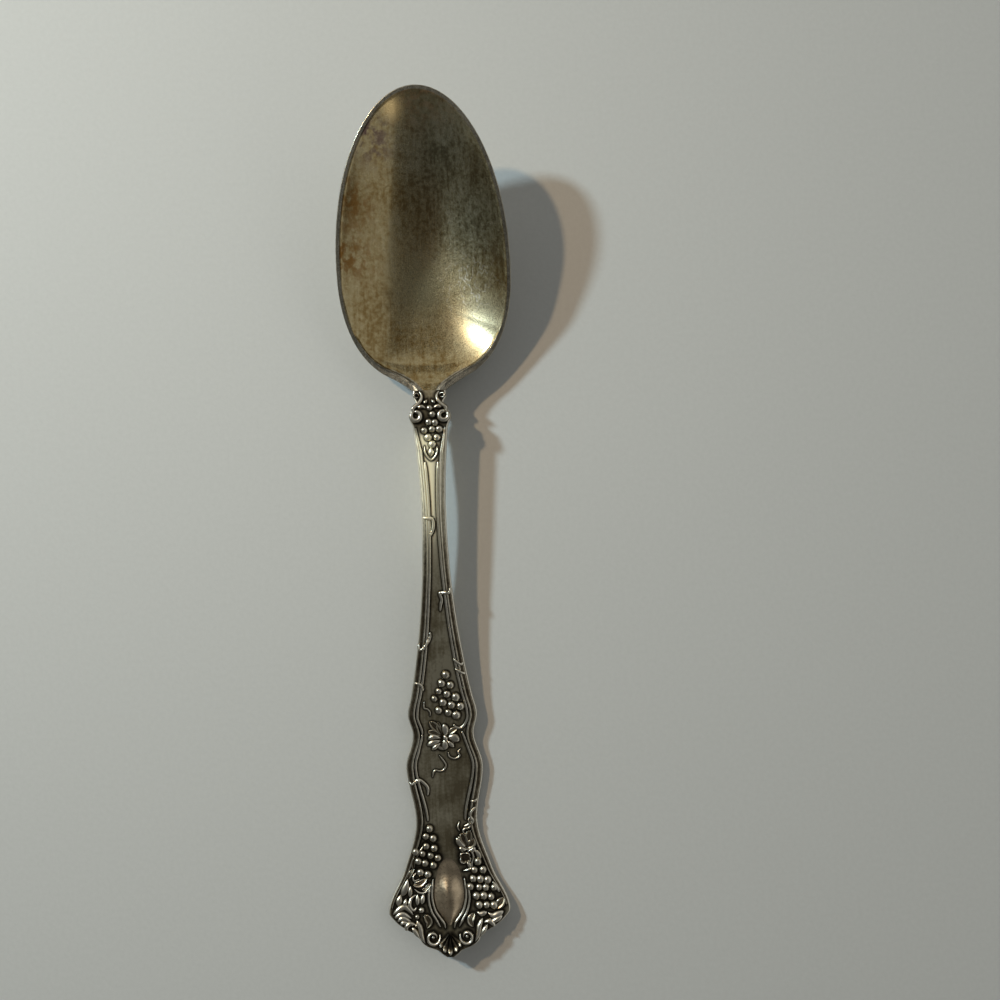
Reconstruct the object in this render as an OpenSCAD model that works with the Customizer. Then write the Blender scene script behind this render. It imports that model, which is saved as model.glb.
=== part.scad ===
// Serving spoon with a vine-and-grape handle, lying bowl up on a table.
// It lies along Y, with the tip of the bowl at +Y and the end of the handle at -Y.
// Heights are from the table.
// A run is a distance along the spoon, measured back from the tip of the bowl.

/* [Bowl] */
// Length from the tip to the widest place
bowl_front = 40.9; // [37:0.1:47]
// Length from the widest place to the heel
bowl_back = 26.3; // [24:0.1:31]
// Width across the rim
bowl_w = 41.9; // [34:0.1:48]
// Fullness of the heel's outline: 2 gives an ellipse, a larger number a squarer heel
heel_fullness = 2.3; // [2:0.1:2.6]
// Fullness of the hollow's outline at the lip
lip_fullness = 2.8; // [2.4:0.1:3.2]
// Distance of the deepest place behind the widest place
deep_behind = 4; // [0:0.5:8]
// Width of the flat rim
rim_w = 1.3; // [0.8:0.1:2]
// Width of the rim's band round the lip
band_w = 1.9; // [1.4:0.1:2.4]
// Thickness of the rim's edge
rim_t = 0.9; // [0.6:0.1:1.4]
// Wall at the deepest place
wall_t = 1.1; // [0.8:0.1:1.6]
// Length of the lip between the hollow and the heel
lip_len = 4.8; // [3:0.1:6]
// How far the lip slopes down to the hollow
lip_drop = 1; // [0.4:0.1:1.6]
// Fullness of the hollow: a larger number gives a flatter bottom and steeper sides
fullness = 2.3; // [1.8:0.1:3]

/* [Side profile] */
// Height of the rim at the tip
tip_h = 22.2; // [18:0.1:26]
// Height of the rim at the widest place
mid_h = 11.4; // [9.5:0.1:14]
// How far the rim arches above a straight line from the tip to the widest place
rim_arch = 0.5; // [0:0.1:1]
// Height of the lip, where the rim is lowest
lip_h = 5.9; // [5:0.1:7.5]
// Height of the top of the neck at its scrolls
neck_h = 8.4; // [7.8:0.1:10.5]
// Length over which the stem stays level behind the scrolls
level_len = 13.5; // [8:0.5:20]
// Height of the top of the handle's end
end_h = 5.1; // [3.6:0.1:7]
// Length of the underside that rests on the table
rest_len = 12; // [8:0.5:16]
// Thickness of the neck at its scrolls
neck_t = 3.7; // [3:0.1:4.2]
// Thickness of the stem at its narrowest place
stem_t = 3.2; // [2.6:0.1:3.8]
// Thickness at the shoulder
shoulder_t = 2.1; // [1.8:0.1:2.6]
// Thickness of the panel where it rests on the table
rest_t = 1.6; // [1.2:0.1:2]
// Thickness at the end of the handle
end_t = 1.4; // [1:0.1:1.8]

/* [Handle lengths] */
// From the heel of the bowl to the joint with the neck
root_len = 1.6; // [1.2:0.1:2.4]
// From the heel of the bowl to the scrolls of the neck
neck_len = 7.8; // [7:0.1:10]
// From the scrolls to the narrowest place of the stem
stem_len = 23.9; // [20:0.1:30]
// From the narrowest place to the shoulder
taper_len = 49.9; // [44:0.1:60]
// From the shoulder to the waist
waist_len = 5; // [4:0.1:7]
// From the waist to the widest place of the belly
belly_len = 8.2; // [7:0.1:11]
// From the belly to the narrow place above the foot
low_len = 13.3; // [11:0.1:18]
// From the narrow place to the widest place of the foot
foot_len = 22.3; // [19:0.1:28]
// From the widest place of the foot to the end
end_len = 10.6; // [9:0.1:14]

/* [Handle widths] */
// At the joint with the bowl
root_w = 8; // [7:0.1:9]
// Across the ears of the neck
ear_w = 8.2; // [7.6:0.1:9.4]
// At the throat between the ears and the scrolls
throat_w = 6.8; // [6:0.1:7.4]
// Across the scrolls of the neck
scroll_w = 10.3; // [9:0.1:12]
// Below the scrolls, where the stem starts
collar_w = 8.4; // [7.6:0.1:9]
// At the narrowest place of the stem
stem_w = 6; // [5.8:0.1:7]
// At the shoulder
shoulder_w = 17.2; // [15:0.1:20]
// At the waist
waist_w = 15.2; // [13:0.1:17]
// At the belly
belly_w = 19.1; // [17:0.1:22]
// At the narrow place above the foot
low_w = 15.3; // [14:0.1:18]
// At the widest place of the foot
foot_w = 30.2; // [26:0.1:36]
// Across the scrolls of the foot
step_w = 14.6; // [13:0.1:16]
// At the very end
nib_w = 2; // [1.6:0.1:3]

/* [Border] */
// Width of the moulding along each edge
edge_w = 1.85; // [1.4:0.05:1.9]
// Height of the moulding along each edge
edge_h = 0.65; // [0.4:0.05:0.8]
// Width of the inner beads
thread_w = 0.7; // [0.5:0.05:0.75]
// Height of the inner beads
thread_h = 0.5; // [0.3:0.05:0.6]
// Distance of the inner beads from the edge
border_w = 2.35; // [2.35:0.05:2.5]
// Width of the twigs and tendrils
twig_w = 0.5; // [0.4:0.05:0.6]
// Height of the twigs and tendrils
twig_h = 0.35; // [0.25:0.05:0.5]

/* [Ornament] */
// Diameter of the berries at the neck
neck_berry_d = 1.5; // [1.3:0.05:1.55]
// Diameter of the berries at the shoulder
middle_berry_d = 1.75; // [1.5:0.05:1.8]
// Diameter of the berries of the foot
foot_berry_d = 1.55; // [1.35:0.05:1.6]
// Gap between neighbouring berries
berry_gap = 0.25; // [0.15:0.05:0.3]
// Height of the leaves
leaf_h = 0.75; // [0.5:0.05:1]
// Width of the boss of the foot
boss_w = 7.6; // [6.6:0.1:7.7]
// Height of the boss of the foot
boss_h = 1.3; // [0.8:0.05:1.6]
// Height of the scrolls and of the shell
scroll_h = 0.9; // [0.6:0.05:1.1]
// Unit of the grid that the ornament is laid out on
grid = 1; // [0.9:0.02:1.04]
// Clearance of each ornament over what it sits on
seat = 0.02; // [0.01:0.01:0.05]

/* [Hidden] */

// Runs of the main places
heel = bowl_front + bowl_back;
joint = heel + root_len;
scrolls = heel + neck_len;
narrow = scrolls + stem_len;
shoulder = narrow + taper_len;
waist = shoulder + waist_len;
belly = waist + belly_len;
low = belly + low_len;
foot = low + foot_len;
end = foot + end_len;
deepest = bowl_front + deep_behind;
lip = heel - lip_len;
ears = joint + root_len * 0.8;
throat = (ears + scrolls) / 2 - 0.7 * grid;
collar = scrolls + 3 * grid;
rest_from = low - rest_len * 0.1;
rest_to = rest_from + rest_len;
level_end = scrolls + level_len;

silver = [0.62, 0.6, 0.54];
toned = [0.5, 0.45, 0.33];
dark = [0.36, 0.34, 0.29];

// Slope of a smooth curve at its station i, level at each highest and lowest one
function secant(st, i) = (st[i + 1][1] - st[i][1]) / (st[i + 1][0] - st[i][0]);
function slope_at(st, i) =
    i == 0 ? secant(st, 0) :
    i == len(st) - 1 ? secant(st, i - 1) :
    let (before = secant(st, i - 1), after = secant(st, i))
    before * after <= 0 ? 0 : 2 * before * after / (before + after);

// Smooth curve through stations of [run, value]
function curve(st, s) =
    let (
        i = max([0, for (k = [0 : len(st) - 2]) if (s >= st[k][0]) k]),
        d = st[i + 1][0] - st[i][0],
        t = min(1, max(0, (s - st[i][0]) / d)),
        rise_0 = slope_at(st, i) * d,
        rise_1 = slope_at(st, i + 1) * d
    )
    (st[i][1] * (1 + 2 * t) + rise_0 * t) * (1 - t) ^ 2
    + (st[i + 1][1] * (3 - 2 * t) - rise_1 * (1 - t)) * t ^ 2;

// Half of the handle's width
taper_power = 2;
outline_stations = [
    [joint, root_w / 2],
    [ears, ear_w / 2],
    [throat, throat_w / 2],
    [scrolls, scroll_w / 2],
    [collar, collar_w / 2],
    [narrow, stem_w / 2],
    for (f = [0.25, 0.5, 0.75, 0.9])
        [narrow + f * taper_len, stem_w / 2 + (shoulder_w - stem_w) / 2 * f ^ taper_power],
    [shoulder, shoulder_w / 2],
    [waist, waist_w / 2],
    [belly, belly_w / 2],
    [low, low_w / 2],
    [low + 0.55 * foot_len, low_w / 2 + 0.44 * (foot_w - low_w) / 2],
    [foot, foot_w / 2],
    [foot + 0.2 * end_len, foot_w * 0.45],
    [foot + 0.37 * end_len, (foot_w + step_w) / 4],
    [foot + 0.54 * end_len, step_w * 0.54],
    [foot + 0.66 * end_len, step_w * 0.49],
    [foot + 0.76 * end_len, step_w * 0.4],
    [foot + 0.86 * end_len, step_w * 0.21],
    [foot + 0.94 * end_len, step_w * 0.14],
    [end, nib_w / 2]
];
function half_w(s) = curve(outline_stations, s);

// Height of the rim and of the handle's top
height_stations = [
    [0, tip_h],
    [bowl_front / 2, (tip_h + mid_h) / 2 + rim_arch],
    [bowl_front, mid_h],
    [lip, lip_h],
    [scrolls, neck_h],
    [level_end, neck_h],
    [rest_from, rest_t],
    [rest_to, rest_t],
    [end, end_h]
];
function top_h(s) = curve(height_stations, s);

// Thickness of the handle along its middle
thickness_stations = [
    [joint, neck_t * 0.85],
    [scrolls, neck_t],
    [narrow, stem_t],
    [shoulder, shoulder_t],
    [rest_from, rest_t],
    [rest_to, rest_t],
    [end, end_t]
];
// The sides' share of that thickness, and the level middle's share of the width
side_share = 0.55;
level_share = 0.3;
function under_h(s, u) =
    let (t = curve(thickness_stations, s), out = max(0, (abs(u) - level_share) / (1 - level_share)))
    top_h(s) - t + t * (1 - side_share) * out ^ 2;

// A plan point [x, run] at height z
function at(p, z) = [p.x, end / 2 - p.y, z];
function edge_x(side, s, inset) = side * (half_w(s) - inset);

// Section of the edge moulding, as [share of its width from the edge inwards, share of its height]
edge_gap = 0.05;
edge_section = [[0, 0], [0.1, 0.5], [0.38, 0.75], [0.52, 0.6], [0.76, 1], [0.92, 0.7], [1, 0]];
edge_from = collar;
edge_to = foot - grid;
edge_growth = 6 * grid;
edge_fade = 20 * grid;
function edge_share(s) =
    min(1, 0.4 + 0.6 * (s - edge_from) / edge_growth, 0.4 + 0.6 * (edge_to - s) / edge_fade);
thread_from = collar + 8.2 * grid;
thread_to = low + 0.4 * grid;
function thread_inset(s) = border_w + 0.6 * grid * min(1, max(0, (s - belly) / low_len));

// Height of the ground that an ornament sits on, with the mouldings of the border
function bead(d, w, h) = abs(d) < w / 2 ? h * sqrt(1 - (2 * d / w) ^ 2) : 0;
function ground(p) =
    let (
        inset = half_w(p.y) - abs(p.x),
        q = (inset - edge_gap) / (edge_w * edge_share(p.y))
    )
    top_h(p.y) + max(
        q > 0 && q < 1 ? edge_h * lookup(q, edge_section) : 0,
        p.y > thread_from && p.y < thread_to ? bead(inset - thread_inset(p.y), thread_w, thread_h) : 0
    );

// Smooth path through plan points
function path(pts, steps) =
    let (n = len(pts) - 1)
    [
        for (i = [0 : n - 1], k = [0 : steps - 1])
            let (
                t = k / steps,
                a = pts[max(0, i - 1)],
                b = pts[i],
                c = pts[i + 1],
                d = pts[min(n, i + 2)]
            )
            0.5 * (2 * b + (c - a) * t
                + (2 * a - 5 * b + 4 * c - d) * t ^ 2 + (3 * b - a - 3 * c + d) * t ^ 3),
        pts[n]
    ];

// Spiral in plan from an outer to an inner radius
function spiral(centre, r_out, r_in, from, turn, steps) =
    [for (k = [0 : steps]) let (f = k / steps, r = r_out + (r_in - r_out) * f, a = from + turn * f)
        centre + r * [cos(a), sin(a)]];

function unit(v) = v / max(norm(v), 1e-6);
function aim(pts, i) = unit(pts[min(len(pts) - 1, i + 1)] - pts[max(0, i - 1)]);

// Closed skin over rings of equal counts of points
module skin(rings) {
    n = len(rings[0]);
    last = len(rings) - 1;
    points = [for (ring = rings) each ring];
    sides = [
        for (i = [0 : last - 1], k = [0 : n - 1])
            let (a = i * n + k, b = i * n + (k + 1) % n)
            each [[a, b, b + n], [a, b + n, a + n]]
    ];
    first_cap = [for (k = [1 : n - 2]) [0, k + 1, k]];
    last_cap = [for (k = [1 : n - 2]) [last * n, last * n + k, last * n + k + 1]];
    polyhedron(points, concat(sides, first_cap, last_cap));
}

// Closed skin over rings of equal counts of points, ending in a point on either side
module pointed_skin(first, rings, last) {
    n = len(rings[0]);
    count = len(rings);
    polyhedron(
        concat([first, last], [for (ring = rings) each ring]),
        [
            for (i = [0 : n - 1])
                let (k = (i + 1) % n, from_last = 2 + (count - 1) * n)
                each concat(
                    [[0, 2 + i, 2 + k], [1, from_last + k, from_last + i]],
                    [for (j = [0 : count - 2])
                        let (a = 2 + j * n + i, b = 2 + j * n + k)
                        each [[a, a + n, b + n], [a, b + n, b]]]
                )
        ]
    );
}

// Closed ridge along a plan path, with a share of its width and height for each point
module ridge(pts, shares, w, h, section, on_beads = false) {
    skin([
        for (i = [0 : len(pts) - 1])
            let (
                t = aim(pts, i),
                across = [-t.y, t.x] * w / 2 * shares[i],
                crest = max([for (q = section) ground(pts[i] + q.x * across)])
            )
            [for (q = section)
                let (p = pts[i] + q.x * across)
                at(p, (on_beads ? crest : top_h(p.y)) + seat + q.y * h * shares[i])]
    ]);
}
half_round = [[1, 0], [0.7, 0.72], [0, 1], [-0.7, 0.72], [-1, 0]];
dished = [[1, 0], [0.75, 0.85], [0, 0.5], [-0.75, 0.85], [-1, 0]];

// Raised half-round line, thinned towards its ends
module raised_line(pts, w, h, end_share = 0.35, on_beads = false) {
    last = len(pts) - 1;
    shares = [for (i = [0 : last]) min(1, end_share + (1 - end_share) * min(i, last - i) / 2)];
    ridge(pts, shares, w, h, half_round, on_beads);
}

// Lobe of a leaf along a plan path: narrow where it starts, widest past its middle, round at its tip
module petal(pts, w, section = dished, h = leaf_h) {
    line = path(pts, 3);
    last = len(line) - 1;
    shares = [for (i = [0 : last]) max(0.15, sin(180 * (i / last) ^ 1.25) ^ 0.6)];
    ridge(line, shares, w, h, section);
}

// Raised patch over a grid of plan points, with a height for each
module raised_patch(pts, heights) {
    rows = len(pts);
    cols = len(pts[0]);
    count = rows * cols;
    flat = [for (row = pts) each row];
    rise = [for (row = heights) each row];
    bottom = [for (p = flat) at(p, top_h(p.y) + seat)];
    upper = [for (i = [0 : count - 1]) at(flat[i], top_h(flat[i].y) + seat + max(0.02, rise[i]))];
    border = concat(
        [for (k = [0 : cols - 2]) k],
        [for (i = [0 : rows - 2]) i * cols + cols - 1],
        [for (k = [cols - 1 : -1 : 1]) (rows - 1) * cols + k],
        [for (i = [rows - 1 : -1 : 1]) i * cols]
    );
    m = len(border);
    polyhedron(
        concat(bottom, upper),
        [
            for (i = [0 : rows - 2], k = [0 : cols - 2])
                let (a = i * cols + k, b = a + 1, c = b + cols, d = a + cols)
                each [
                    [a, b, c], [a, c, d],
                    [count + a, count + c, count + b], [count + a, count + d, count + c]
                ],
            for (i = [0 : m - 1])
                let (a = border[i], b = border[(i + 1) % m])
                each [[a, count + a, count + b], [a, count + b, b]]
        ]
    );
}

// Round leaf with a scalloped edge, turned so that its middle lobe points at turn degrees
module leaf(centre, size, turn, lobes = 5, spokes = 30) {
    function lobe(a) = abs(cos((a - turn) * lobes / 2));
    function reach(a) = size * (0.72 + 0.28 * lobe(a) ^ 0.7) * (0.9 + 0.1 * cos(a - turn));
    function raised(p, rise) = at(p, top_h(p.y) + seat + rise);
    function ring(f, rise) = [
        for (i = [0 : spokes - 1])
            let (a = 360 * i / spokes)
            raised(centre + f * reach(a) * [cos(a), sin(a)], rise)
    ];
    pointed_skin(
        raised(centre, 0.3 * leaf_h),
        [ring(0.55, 0.4 * leaf_h), ring(0.8, leaf_h), ring(1, 0)],
        raised(centre, 0)
    );
}

// Bunch of berries in rows that widen the pitch by their spread, tilt down to the right and grow that way
module bunch(first, counts, spread, d, lean = 0, tilt = 0, grow = 0) {
    pitch = d + berry_gap;
    row_gap = 1.05;
    for (k = [0 : len(counts) - 1], i = [0 : counts[k] - 1]) {
        place = i - (counts[k] - 1) / 2;
        p = first + k * row_gap * pitch * [sin(lean), cos(lean)]
            + place * spread[k] * pitch * [cos(tilt), sin(tilt)];
        slope = atan((top_h(p.y + 0.1) - top_h(p.y - 0.1)) / 0.2);
        translate(at(p, top_h(p.y) + seat)) rotate([-slope, 0, 0]) berry(d / 2 * (1 + grow * place));
    }
}

// Berry on a level seat
module berry(r) {
    intersection() {
        translate([0, 0, r * 0.1]) sphere(r, $fn = 24);
        translate([-r, -r, 0]) cube(2 * r);
    }
}

// Bowl
spokes_egg = 26;
egg_end = 157.5;
root_steps = 4;
rings_bowl = 9;
joint_shares = [0.7, 0.35, 0];

// Plan point of the egg outline at an angle from the tip: an ellipse in front, a fuller curve at the heel
function egg(a, inset, heel_inset, full) =
    let (
        c = cos(a),
        power = c > 0 ? 1 : 2 / full,
        length = c > 0 ? bowl_front - inset : bowl_back - heel_inset
    )
    [(bowl_w / 2 - inset) * max(0, sin(a)) ^ power, bowl_front - sign(c) * abs(c) ^ power * length];
egg_last = egg(egg_end, 0, 0, heel_fullness);
egg_before = egg(egg_end - 5, 0, 0, heel_fullness);
root_stations = [
    [egg_before.y, egg_before.x],
    [egg_last.y, egg_last.x],
    [heel + 0.38 * root_len, 0.67 * root_w],
    [joint, root_w / 2]
];
half_rim = [
    for (i = [0 : spokes_egg]) egg(egg_end * i / spokes_egg, 0, 0, heel_fullness),
    for (i = [1 : root_steps])
        let (s = egg_last.y + (joint - egg_last.y) * i / root_steps)
        [curve(root_stations, s), s],
    for (f = joint_shares) [f * root_w / 2, joint]
];
half_hollow = [
    for (i = [0 : spokes_egg]) egg(egg_end * i / spokes_egg, rim_w, lip_len, lip_fullness),
    let (rest = len(half_rim) - spokes_egg - 1)
    for (i = [1 : rest]) egg(egg_end + (180 - egg_end) * i / rest, rim_w, lip_len, lip_fullness)
];
function both_sides(half) =
    concat(half, [for (i = [len(half) - 2 : -1 : 1]) [-half[i].x, half[i].y]]);
rim = both_sides(half_rim);
hollow = both_sides(half_hollow);

// Inner edge of the rim's flat band: close to the hollow in front, at the band's own width round the lip
band_edge = [
    for (i = [0 : len(rim) - 1])
        let (inwards = hollow[i] - rim[i])
        rim[i] + inwards * min(0.85, band_w / norm(inwards))
];

// Height of the hollow's edge: just under the rim in front, lower round the lip
function hollow_h(s) =
    let (share = max(0, (s - bowl_front) / (lip - bowl_front)))
    top_h(s) - rim_t * 0.15 - lip_drop * share ^ 4;

// Underside of the rim, thickening to the neck's section at the joint
function rim_under(p) =
    let (
        root = max(0, (p.y - lip) / (joint - lip)),
        neck_under = under_h(joint, min(1, abs(p.x) / (root_w / 2))) - top_h(joint)
    )
    top_h(p.y) - rim_t + (neck_under + rim_t) * root ^ 2;

module bowl() {
    centre = [0, deepest];
    shares = [for (j = [1 : rings_bowl]) j / rings_bowl];
    inner = [
        for (f = shares)
            [for (p = hollow) at(centre + f * (p - centre), wall_t + (hollow_h(p.y) - wall_t) * f ^ fullness)]
    ];
    flat = [for (line = [band_edge, rim]) [for (p = line) at(p, top_h(p.y))]];
    outer = [
        for (j = [rings_bowl - 1 : -1 : 0])
            let (f = shares[j])
            [for (p = rim) at(centre + f * (p - centre), rim_under(p) * f ^ fullness)]
    ];
    color(toned) pointed_skin(at(centre, wall_t), concat(inner, flat, outer), at(centre, 0));
}

// Handle blank
under_shares = [1, 0.85, 0.65, 0.3, -0.3, -0.65, -0.85, -1];
steps_handle = 62;
steps_end = 14;

module handle() {
    runs = [
        for (i = [0 : steps_handle - 1]) joint + (foot - joint) * i / steps_handle,
        for (i = [0 : steps_end]) foot + (end - foot) * i / steps_end
    ];
    color(dark)
    skin([
        for (s = runs)
            let (w = half_w(s))
            concat(
                [at([-w, s], top_h(s)), at([w, s], top_h(s))],
                [for (u = under_shares) at([u * w, s], under_h(s, u))]
            )
    ]);
}

// Mouldings and beads of the border
module edge_thread(side) {
    steps = 54;
    order = side < 0 ? [0 : len(edge_section) - 1] : [len(edge_section) - 1 : -1 : 0];
    color(silver)
    skin([
        for (i = [0 : steps])
            let (s = edge_from + (edge_to - edge_from) * i / steps, share = edge_share(s))
            [for (k = order)
                let (q = edge_section[k], x = edge_x(side, s, edge_gap + q.x * edge_w * share))
                at([x, s], top_h(s) + seat + q.y * edge_h * share)]
    ]);
}
module edge_thread_left() { edge_thread(-1); }
module edge_thread_right() { edge_thread(1); }

function border_run(side, from, to, steps) =
    [for (i = [0 : steps])
        let (s = from + (to - from) * i / steps)
        [edge_x(side, s, thread_inset(s)), s]];
function from_waist(side, steps_to) =
    [for (q = steps_to) [side * (waist_w / 2 - q.x * grid), waist + q.y * grid]];

// The upper bead runs from the neck to the waist, where it turns towards the middle
module upper_thread(side, turn) {
    run_in = border_run(side, thread_from, waist - 4.4 * grid, 34);
    color(silver) raised_line(concat(run_in, path(from_waist(side, turn), 2)), thread_w, thread_h);
}
module upper_thread_left() { upper_thread(-1, [[1.65, -3.2], [2.05, -2], [2.3, -1.1], [2.4, -0.4]]); }
module upper_thread_right() {
    upper_thread(1, [[1.65, -3.2], [2.4, -2], [3.4, -1.3], [4.4, -1.6], [4.9, -2.4]]);
}

// The lower bead starts inside the waist and swings out to the belly
module lower_thread(side, lead) {
    run_out = border_run(side, waist + 4.2 * grid, thread_to, 18);
    color(silver) raised_line(concat(path(from_waist(side, lead), 2), run_out), thread_w, thread_h);
}
module lower_thread_left() { lower_thread(-1, [[2.4, 0.4], [2.2, 1.5], [1.8, 2.8]]); }
module lower_thread_right() { lower_thread(1, [[3, -0.6], [2.5, 0.6], [2, 2.4]]); }

// Places on the handle for ornaments laid out from the scrolls of the neck, the waist, the foot and the end
function neck_at(pts, side = 1) = [for (p = pts) [side * p.x * grid, scrolls + p.y * grid]];
function waist_at(pts) = [for (p = pts) [p.x * grid, waist + p.y * grid]];
// From shares of the half width, and of the foot's length above its widest place or the end's below it
function foot_at(pts) =
    [for (p = pts) let (s = foot + p.y * (p.y < 0 ? foot_len : end_len)) [p.x * half_w(s), s]];
// From shares of the scrolls' width and of the end's length
function end_at(pts, side) = [for (p = pts) [side * p.x * step_w, foot + p.y * end_len]];

// Fine line through a few points
module fine_line(pts, w = twig_w, h = twig_h) {
    raised_line(path(pts, 3), w, h);
}

// Neck
module neck_ears() {
    r = 0.62 * grid;
    w = 0.55 * grid;
    color(silver)
    for (side = [-1, 1]) {
        eye = [edge_x(side, ears, r + 0.6 * w), ears];
        raised_line(spiral(eye, r, r * 0.8, side > 0 ? 180 : 0, side * 300, 14), w, scroll_h);
        petal(neck_at([[0.6, -3.9], [0.9, -3.4], [1.2, -3]], side), 0.7 * grid, half_round);
    }
}

// Strand that leaves the ear and rolls up into a thick volute, with a leaf inside it
module neck_scroll(side) {
    r = 1.3 * grid;
    w = 0.95 * grid;
    eye = [side * (scroll_w / 2 - r - 0.55 * w), scrolls + 0.1 * grid];
    strand = path(neck_at([[1.7, -4.9], [2, -3.9], [2.9, -2.8], [4, -1.9]], side), 3);
    turn = spiral(eye, r, r * 0.95, side > 0 ? -52 : 232, side * 290, 18);
    color(silver) {
        raised_line(concat(strand, turn), w, scroll_h);
        petal(neck_at([[1.2, -1.9], [2, -2.1], [2.9, -1.9]], side), 0.65 * grid);
    }
}
module neck_scroll_left() { neck_scroll(-1); }
module neck_scroll_right() { neck_scroll(1); }

module neck_grapes() {
    first = neck_at([[0, -2]])[0];
    color(silver) bunch(first, [1, 1, 2, 3, 2, 1], [1, 1, 1, 1.15, 2, 1], neck_berry_d);
}

// Drop in a U-shaped frame below the bunch
module neck_pendant() {
    color(silver) {
        petal(neck_at([[0, 8], [0, 8.8], [0, 9.8]]), 1.5 * grid, half_round, 0.95 * grid);
        fine_line(
            neck_at([[-1.5, 7.5], [-1.35, 9.2], [0, 10.7], [1.35, 9.2], [1.5, 7.5]]),
            0.5 * grid, 0.45 * grid
        );
    }
}

// Shoulder and waist
module middle_grapes() {
    first = [1.3 * grid, shoulder - 9.9 * grid];
    color(silver) bunch(first, [1, 2, 3, 4, 3], [1, 1.1, 1.1, 1.1, 1.1], middle_berry_d, 0, 19, 0.06);
}

// Vine leaf of dished lobes round a bead, each lobe as [direction, reach, width]
module middle_leaf() {
    hub = [0.2, 0.9];
    heart_r = 0.8;
    lobes = [
        [-132, 5.2, 1.7], [-167, 4.2, 1.5], [152, 5, 1.7], [97, 3.3, 1.7],
        [36, 3.7, 2], [-24, 3.3, 1.4], [-78, 3.1, 1.7]
    ];
    middle = waist_at([hub])[0];
    color(silver) {
        for (lobe = lobes) {
            away = [cos(lobe[0]), sin(lobe[0])];
            start = heart_r + 0.3;
            line = [for (r = [start, (start + lobe[1]) / 2, lobe[1]]) hub + r * away];
            petal(waist_at(line), lobe[2] * grid);
        }
        translate(at(middle, top_h(middle.y) + seat)) berry(heart_r * grid);
    }
}

module middle_tendrils() {
    hang = [
        [-1.2, 5.3], [-0.2, 6.7], [0.4, 7.9], [-0.2, 9], [-1.2, 9.3], [-2.2, 9.1], [-2.8, 9.6], [-3.1, 10.9]
    ];
    loop = [[1.1, 4.8], [1.3, 5.7], [2.6, 6.3], [3.9, 5.6], [3.5, 4.7], [4.3, 3.8]];
    color(silver)
    for (line = [hang, loop]) fine_line(waist_at(line));
}

// Foot
module left_grapes() {
    first = foot_at([[-0.5, -0.9]])[0];
    color(silver) bunch(first, [1, 2, 2, 3, 3, 2], [1, 1, 1.1, 1.05, 1.15, 1.5], foot_berry_d, -7, 15);
}
module right_grapes() {
    first = foot_at([[0.69, -0.52]])[0];
    color(silver) bunch(first, [1, 2, 3, 3, 3, 3], [1, 1, 1, 1.1, 1.05, 1], foot_berry_d, 9, 4);
}

// Curled leaf and tendrils under the left bunch
module left_vine_leaf() {
    lines = [
        [[-0.79, -0.5], [-0.82, -0.41], [-0.78, -0.36], [-0.71, -0.35]],
        [[-0.62, -0.22], [-0.5, -0.22], [-0.42, -0.26], [-0.38, -0.34]]
    ];
    color(silver) {
        petal(foot_at([[-0.47, -0.34], [-0.56, -0.3], [-0.68, -0.28]]), 1.3 * grid);
        for (line = lines) fine_line(foot_at(line), 0.6 * grid, 0.55 * grid);
    }
}

// Vine leaf, a round leaf below it and the tendrils that twist along the border
module right_vine_leaf() {
    lobes = [
        [[[0.47, -0.66], [0.36, -0.7], [0.27, -0.77]], 1.4],
        [[[0.52, -0.68], [0.52, -0.73], [0.47, -0.8]], 1.3],
        [[[0.57, -0.67], [0.65, -0.7], [0.71, -0.76]], 1.4]
    ];
    lines = [
        [[0.57, -0.86], [0.48, -0.89], [0.38, -0.88], [0.34, -0.82]],
        [
            [0.54, -0.62], [0.61, -0.62], [0.62, -0.57],
            [0.55, -0.5], [0.51, -0.46], [0.42, -0.44], [0.35, -0.42]
        ]
    ];
    color(silver) {
        for (lobe = lobes) petal(foot_at(lobe[0]), lobe[1] * grid);
        for (line = lines) fine_line(foot_at(line), 0.55 * grid, 0.5 * grid);
        leaf(foot_at([[0.39, -0.57]])[0], 1.3 * grid, 100);
    }
}

// Fan of crescents at the left corner, with a curl, drops and a bead above it
module left_corner_leaf() {
    crescents = [
        [[[-0.65, 0.04], [-0.77, -0.05], [-0.93, 0.04]], 1],
        [[[-0.69, 0.1], [-0.79, 0.03], [-0.93, 0.12]], 0.95],
        [[[-0.73, 0.17], [-0.82, 0.12], [-0.93, 0.19]], 0.85]
    ];
    drops = [
        [[[-0.81, -0.32], [-0.81, -0.25], [-0.8, -0.18]], 1.1],
        [[[-0.84, -0.15], [-0.84, -0.08]], 1],
        [[[-0.46, -0.18], [-0.47, -0.1]], 0.85]
    ];
    curl = [[-0.6, -0.17], [-0.65, -0.13], [-0.64, -0.07], [-0.58, -0.03], [-0.55, -0.06]];
    bead = foot_at([[-0.45, -0.03]])[0];
    color(silver) {
        for (form = concat(crescents, drops)) petal(foot_at(form[0]), form[1] * grid, half_round);
        fine_line(foot_at(curl), 0.8 * grid, 0.7 * grid);
        translate(at(bead, top_h(bead.y + 0.65 * grid) + seat)) berry(0.65 * grid);
    }
}

// Oval leaf at the right corner over a curled one
module right_corner_leaf() {
    color(silver) {
        petal(foot_at([[0.74, -0.02], [0.84, -0.06], [0.93, -0.1]]), 1.9 * grid);
        petal(foot_at([[0.69, 0.08], [0.78, 0.12], [0.87, 0.05]]), grid, half_round);
    }
}

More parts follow.
